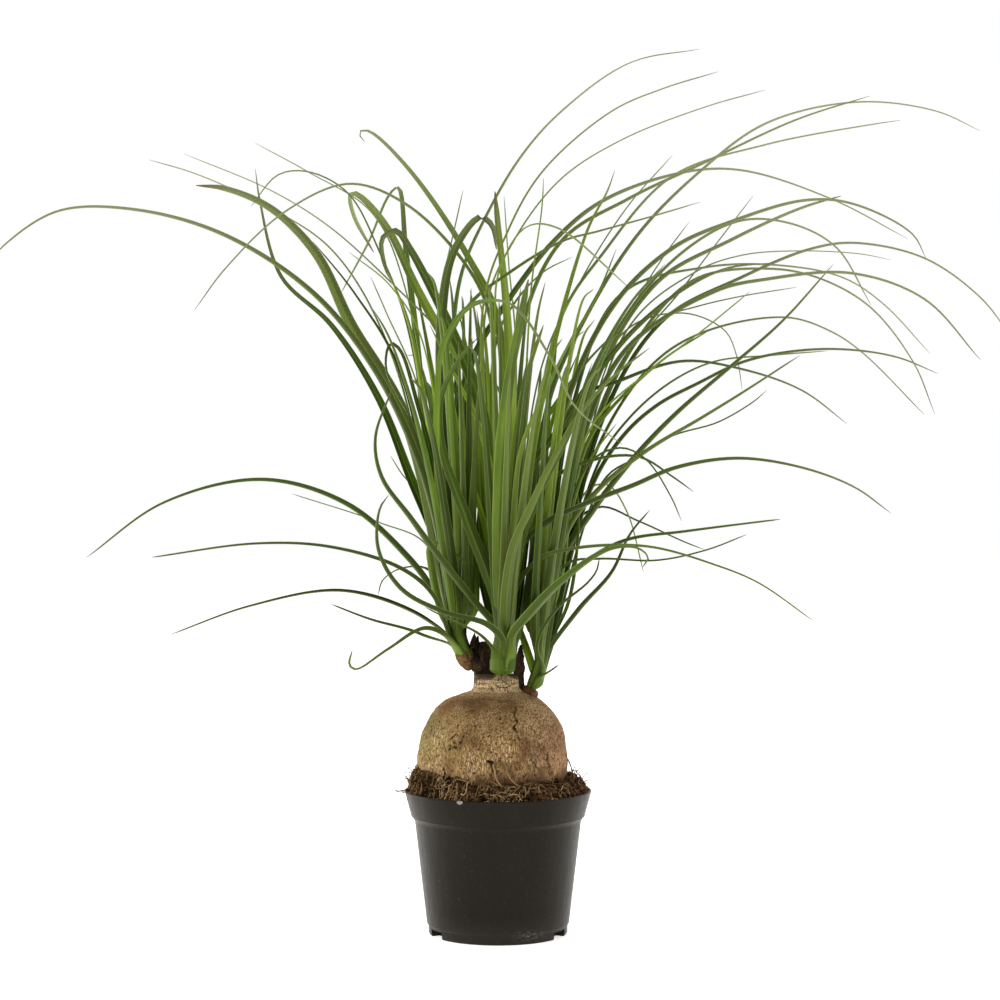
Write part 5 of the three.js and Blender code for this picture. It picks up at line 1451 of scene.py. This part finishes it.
def leaf_finish():
    leaf = Finish("leaf_blade", 0.46, 0.07)
    blade = leaf.vector("blade")
    veins = leaf.noise(blade, (800, 6, 1), 2, 0.5)
    bands = leaf.noise(blade, (520, 6, 1), 2, 0.5)
    clouds = leaf.noise(blade, (90, 16, 1))
    far, pale = leaf.number("far"), leaf.number("pale")
    beside = leaf.maths("ABSOLUTE", leaf.number("across"))
    outer = leaf.step(far, 0.12, 0.3)
    tone = leaf.plus(leaf.number("tone"), leaf.step(clouds, 0.3, 0.7, -0.1, 0.1))
    green = leaf.tones(leaf.plus(tone, leaf.times(outer, 0.22)), [
        (0.0, (148, 180, 44)), (0.26, (108, 138, 32)), (0.55, (60, 88, 21)), (1.0, (26, 43, 12)),
    ])
    green = leaf.layered(green, [
        (leaf.step(pale, 0.55, 0.95, 0.0, 0.5), (118, 134, 66)),
        (leaf.step(pale, 0.1, 0.32, 0.65, 0.0), (40, 64, 12)),
    ])
    green = leaf.shaded(green, leaf.step(veins, 0.3, 0.7), 0.86, 1.1)
    green = leaf.shaded(green, leaf.step(bands, 0.3, 0.7), 0.8, 1.14)
    green = leaf.layered(green, [
        (leaf.times(outer, 0.4), (92, 106, 62)),
        (leaf.step(far, 0.24, 0.42, 0.0, 0.75), (150, 154, 124)),
        # Painted shade: the blades darken toward their roots, deep inside the head where little light
        # reaches
        (leaf.step(far, 0.03, 0.18, 0.36, 0.0), (28, 42, 8)),
        (leaf.step(beside, 0.0, 0.2, 0.3, 0.0), (146, 172, 60)),
        (leaf.step(beside, 0.8, 1.0, 0.0, 0.4), (154, 176, 78)),
        (leaf.times(leaf.number("under"), 0.3), (92, 108, 52)),
    ])
    base = leaf.blend(pale, tone_of(66, 90, 26), tone_of(116, 140, 52))
    # Painted shade: the sheath's edges, where one leaf overlaps the next at the root, are darkened as
    # self-shadow
    base = leaf.layered(base, [(leaf.step(beside, 0.62, 1.0, 0.0, 0.85), (40, 54, 18))])
    green = leaf.blend(leaf.step(leaf.number("root"), 0.4, 0.95, 0.0, 0.85), green, base)
    dry = leaf.times(leaf.number("dry"), leaf.step(clouds, 0.25, 0.5, 0.75, 1.0))
    colour = leaf.layered(green, [(dry, (104, 88, 62))])
    height = leaf.plus(leaf.times(veins, 0.6), leaf.times(bands, 0.5))
    return leaf.finish(colour, height, 0.00012, leaf.step(clouds, 0.3, 0.7, 0.36, 0.48))


def bark_clefts(bark, place, patches):
    """0 in the clefts between upright cells of bark that wander, and 1 away from them."""
    inputs = {"Vector": bark.scaled(place, (380, 380, 130)), "Scale": 1, "Detail": 2}
    wander = bark.scaled(bark.node("TexNoise", inputs).outputs["Color"], (1.5, 1.5, 0.9))
    straight = bark.scaled(place, (620, 620, 150))
    bent = bark.node("VectorMath", {0: straight, 1: wander}, operation="ADD").outputs[0]
    cells = bark.node("TexVoronoi", {"Vector": bent, "Scale": 1}, feature="DISTANCE_TO_EDGE")
    gaps = bark.step(patches, 0.42, 0.6, 0.05, 0.2)
    return bark.maths("MINIMUM", bark.maths("DIVIDE", cells.outputs["Distance"], gaps), 1.0)


def bark_finish():
    bark = Finish("bulb_bark", 0.82, 0.12)
    place = bark.vector("bark")
    patches = bark.noise(place, (75, 75, 55), 4, 0.6)
    blotches = bark.noise(place, (32, 32, 44), 3, 0.6)
    grain = bark.noise(place, (1700, 1700, 190), 5, 0.72)
    clefts = bark_clefts(bark, place, patches)
    specks = bark.step(bark.noise(place, (1150, 1150, 800), 2, 0.5), 0.56, 0.64)
    pits = bark.step(bark.noise(place, (560, 560, 420), 3, 0.6), 0.57, 0.66)
    colour = bark.tones(patches, [
        (0.3, (136, 105, 66)), (0.5, (200, 165, 114)), (0.7, (242, 212, 162)),
    ])
    colour = bark.layered(colour, [
        (bark.step(blotches, 0.48, 0.64, 0.0, 0.68), (106, 74, 48)),
        (bark.step(grain, 0.32, 0.6, 0.85, 0.0), (104, 79, 48)),
        (bark.times(bark.number("green"), 0.4), (158, 156, 84)),
        (bark.times(bark.number("pink"), 0.34), (204, 156, 124)),
        (bark.times(bark.number("neck"), 0.7), (244, 218, 172)),
        (bark.step(clefts, 0.0, 1.0, 0.75, 0.0), (86, 62, 38)),
        (bark.maths("MAXIMUM", bark.times(specks, 0.75), pits), (74, 52, 32)),
        (bark.times(bark.number("scab"), 0.75), (120, 82, 48)),
        (bark.times(bark.number("groove"), 0.55), (108, 78, 50)),
        (bark.step(bark.number("soiled"), 0.0, 1.0, 0.0, 0.72), (88, 62, 42)),
        (bark.step(bark.number("crack"), 0.2, 0.8, 0.0, 0.88), (54, 37, 25)),
        (bark.times(bark.number("dead"), 0.85), (62, 44, 30)),
    ])
    height = bark.plus(bark.times(clefts, 0.4), bark.times(grain, 1.2))
    height = bark.maths("SUBTRACT", height, bark.times(specks, 0.5))
    return bark.finish(colour, height, 0.0006)


def branch_finish(name, light, dark, deep):
    """Rough bark between two tones, with a third in its grooves."""
    bark = Finish(name, 0.8, 0.12)
    place = bark.vector("bark")
    grain = bark.noise(place, (700, 700, 380), 4, 0.65)
    patches = bark.noise(place, (230, 230, 230), 3, 0.6)
    colour = bark.layered(bark.tones(patches, [(0.34, dark), (0.66, light)]), [
        (bark.step(grain, 0.3, 0.62, 0.6, 0.0), deep),
        (bark.step(bark.number("groove"), 0.15, 0.85, 0.0, 0.85), deep),
    ])
    return bark.finish(colour, grain, 0.0007)


PEAT_TONES = [(0.2, (20, 13, 7)), (0.55, (47, 32, 20)), (0.9, (92, 67, 43))]
CRUMB_TONES = [(0.15, (24, 16, 9)), (0.5, (58, 41, 27)), (0.95, (124, 92, 61))]
COIR_TONES = [
    (0.1, (50, 35, 21)), (0.5, (92, 69, 43)), (0.8, (152, 123, 82)), (1.0, (200, 176, 134)),
]
ROOT_TONES = [(0.2, (112, 86, 58)), (0.9, (178, 148, 106))]


def soil_finish(name, stops, depth):
    """Loose matter that goes through a row of tones with each lump's own shade."""
    soil = Finish(name, 0.95, 0.05)
    speckle = soil.noise(soil.vector("grain"), (1300, 1300, 1300), 4, 0.7)
    shade = soil.plus(soil.number("shade"), soil.step(speckle, 0.25, 0.75, -0.3, 0.3))
    return soil.finish(soil.tones(shade, stops), speckle, depth)


# On the pot, in metres: the crease at its foot, and a pale speck on its collar
CREASE_PLACE = 0.0055
SPECK_PLACE = (-0.0243, 0.0, 0.0932)


def pot_finish():
    pot = Finish("pot_plastic", 0.38, 0.17)
    pot.shader.inputs["Specular Tint"].default_value = (1.0, 0.93, 0.82, 1.0)
    place = pot.node("TexCoord", {}).outputs["Object"]
    across, deep, height = pot.node("SeparateXYZ", {0: place}).outputs
    flow = pot.noise(place, (55, 55, 16))
    grain = pot.noise(place, (2600, 2600, 2600), 2, 0.6)
    dust = pot.noise(place, (420, 420, 300), 5, 0.72)
    flecks = pot.noise(place, (760, 760, 520), 3, 0.6)
    film = pot.plus(pot.step(dust, 0.5, 0.8, 0.0, 0.06), pot.step(height, 0.004, 0.02, 0.06, 0.0))

    # Scuffs on the crease, right of the front
    off_crease = pot.maths("ABSOLUTE", pot.maths("SUBTRACT", height, CREASE_PLACE))
    scuffs = pot.step(pot.noise(place, (500, 500, 700), 5, 0.7), 0.45, 0.72)
    for share in (
        pot.step(off_crease, 0.0008, 0.0046, 1.0, 0.0),
        pot.step(across, 0.006, 0.02),
        pot.step(across, 0.02, 0.036, 1.0, 0.0),
    ):
        scuffs = pot.times(scuffs, share)

    from_speck = pot.node("VectorMath", {0: place, 1: SPECK_PLACE}, operation="SUBTRACT")
    flat = pot.scaled(from_speck.outputs[0], (0.8, 0.0, 1.0))
    reach = pot.node("VectorMath", {0: flat}, operation="LENGTH").outputs["Value"]
    ragged = pot.plus(reach, pot.step(dust, 0.3, 0.7, -0.0004, 0.0004))
    in_front = pot.step(deep, -0.03, -0.02, 1.0, 0.0)
    speck = pot.times(pot.step(ragged, 0.0011, 0.0017, 0.5, 0.0), in_front)

    colour = pot.layered(pot.tones(flow, [(0.3, (11, 8, 5)), (0.7, (17, 13, 8))]), [
        (film, (118, 110, 98)),
        (pot.step(flecks, 0.70, 0.76, 0.0, 0.45), (120, 114, 104)),
        (pot.times(scuffs, 0.4), (170, 164, 152)),
        (speck, (196, 190, 180)),
    ])
    roughness = pot.plus(pot.step(dust, 0.3, 0.8, 0.34, 0.48), pot.times(scuffs, 0.3))
    return pot.finish(colour, pot.plus(pot.times(grain, 0.05), flow), 0.0007, roughness)


# Stage

def make_stage():
    floor = new_mesh("floor", [[-9, -9, 0], [9, -9, 0], [9, 9, 0], [-9, 9, 0]], [[0, 1, 2, 3]])
    paper = Finish("floor_paper", 0.9, 0.1)
    paper.shader.inputs["Base Color"].default_value = (0.86, 0.86, 0.86, 1)
    paper.shader.inputs["Emission Color"].default_value = (1, 1, 1, 1)
    paper.shader.inputs["Emission Strength"].default_value = 0.62
    floor.data.materials.append(paper.material)


def make_world():
    """White behind the object, and soft light that is brighter from behind and above it."""
    world = bpy.data.worlds.new("studio")
    world.use_nodes = True
    nodes, links = world.node_tree.nodes, world.node_tree.links
    light = nodes["Background"]
    light.inputs["Color"].default_value = (1, 0.965, 0.89, 1)
    apart = nodes.new("ShaderNodeSeparateXYZ")
    links.new(nodes.new("ShaderNodeTexCoord").outputs["Generated"], apart.inputs[0])
    turned = nodes.new("ShaderNodeMapRange")
    for socket, value in zip(turned.inputs[1:5], (-0.45, 0.5, 0.05, 1.1)):
        socket.default_value = value
    links.new(apart.outputs[1], turned.inputs[0])
    links.new(turned.outputs[0], light.inputs["Strength"])
    seen = nodes.new("ShaderNodeBackground")
    seen.inputs["Strength"].default_value = 1.0
    seen.inputs["Color"].default_value = (1, 1, 1, 1)
    either = nodes.new("ShaderNodeMixShader")
    links.new(nodes.new("ShaderNodeLightPath").outputs["Is Camera Ray"], either.inputs[0])
    links.new(light.outputs[0], either.inputs[1])
    links.new(seen.outputs[0], either.inputs[2])
    links.new(either.outputs[0], nodes["World Output"].inputs[0])
    bpy.context.scene.world = world


# Soft lamps: [name, place, height on the pot's axis that it aims at, width, watts]
LAMPS = [
    ["key_softbox", (-1.7, -0.9, 1.2), 0.3, 1.1, 27],
    ["fill_softbox", (1.9, -0.7, 0.9), 0.3, 1.0, 11.5],
    ["top_softbox", (0.1, -0.2, 2.3), 0.2, 1.4, 20],
    ["left_edge_softbox", (-1.3, 1.2, 0.35), 0.15, 0.9, 14],
    ["right_edge_softbox", (1.4, 1.3, 0.4), 0.15, 0.8, 6],
]
LAMP_COLOUR = (1, 0.96, 0.9)


def make_lights():
    for name, place, aim_height, width, power in LAMPS:
        lamp = bpy.data.lights.new(name, "AREA")
        lamp.shape, lamp.size, lamp.energy = "SQUARE", width, power
        lamp.color = LAMP_COLOUR
        holder = bpy.data.objects.new(name, lamp)
        holder.location = place
        aim = Vector((0, 0, aim_height)) - Vector(place)
        holder.rotation_euler = aim.to_track_quat("-Z", "Y").to_euler()
        bpy.context.scene.collection.objects.link(holder)


def make_camera():
    lens = bpy.data.cameras.new("camera")
    lens.lens, lens.sensor_width, lens.shift_x = LENS, SENSOR_WIDTH, VIEW_SHIFT
    camera = bpy.data.objects.new("camera", lens)
    camera.location = (0, -VIEW_DISTANCE * MM, VIEW_HEIGHT * MM)
    camera.rotation_euler = (math.pi / 2, 0, 0)
    bpy.context.scene.collection.objects.link(camera)
    bpy.context.scene.camera = camera
    bpy.context.scene.view_settings.view_transform = "Standard"


make_camera()
make_world()
make_lights()
make_stage()
make_rosettes(all_leaves(), leaf_finish())
BARK = bark_finish()
make_bulb(BARK)
BRANCHES = {
    "middle": BARK,
    # Dark brown bark, made darker still as painted shade: the trunk's top and the branch behind stand in
    # shade. The left stub and the dry scraps share it.
    "dark": branch_finish("dark_bark_and_painted_shade", (74, 56, 40), (44, 33, 24), (26, 19, 14)),
    "left": branch_finish("orange_bark", (140, 108, 70), (100, 76, 48), (48, 34, 22)),
    "right": branch_finish("red_bark", (140, 98, 66), (96, 66, 46), (46, 31, 22)),
}
make_stubs(BRANCHES)
make_scraps(BRANCHES["dark"])
make_soil(soil_finish("peat", PEAT_TONES, 0.001))
make_crumbs(soil_finish("peat_crumbs", CRUMB_TONES, 0.0004))
make_fibres(soil_finish("coir", COIR_TONES, 0.0002))
make_roots(soil_finish("root_skin", ROOT_TONES, 0.0003))
make_pot(pot_finish())
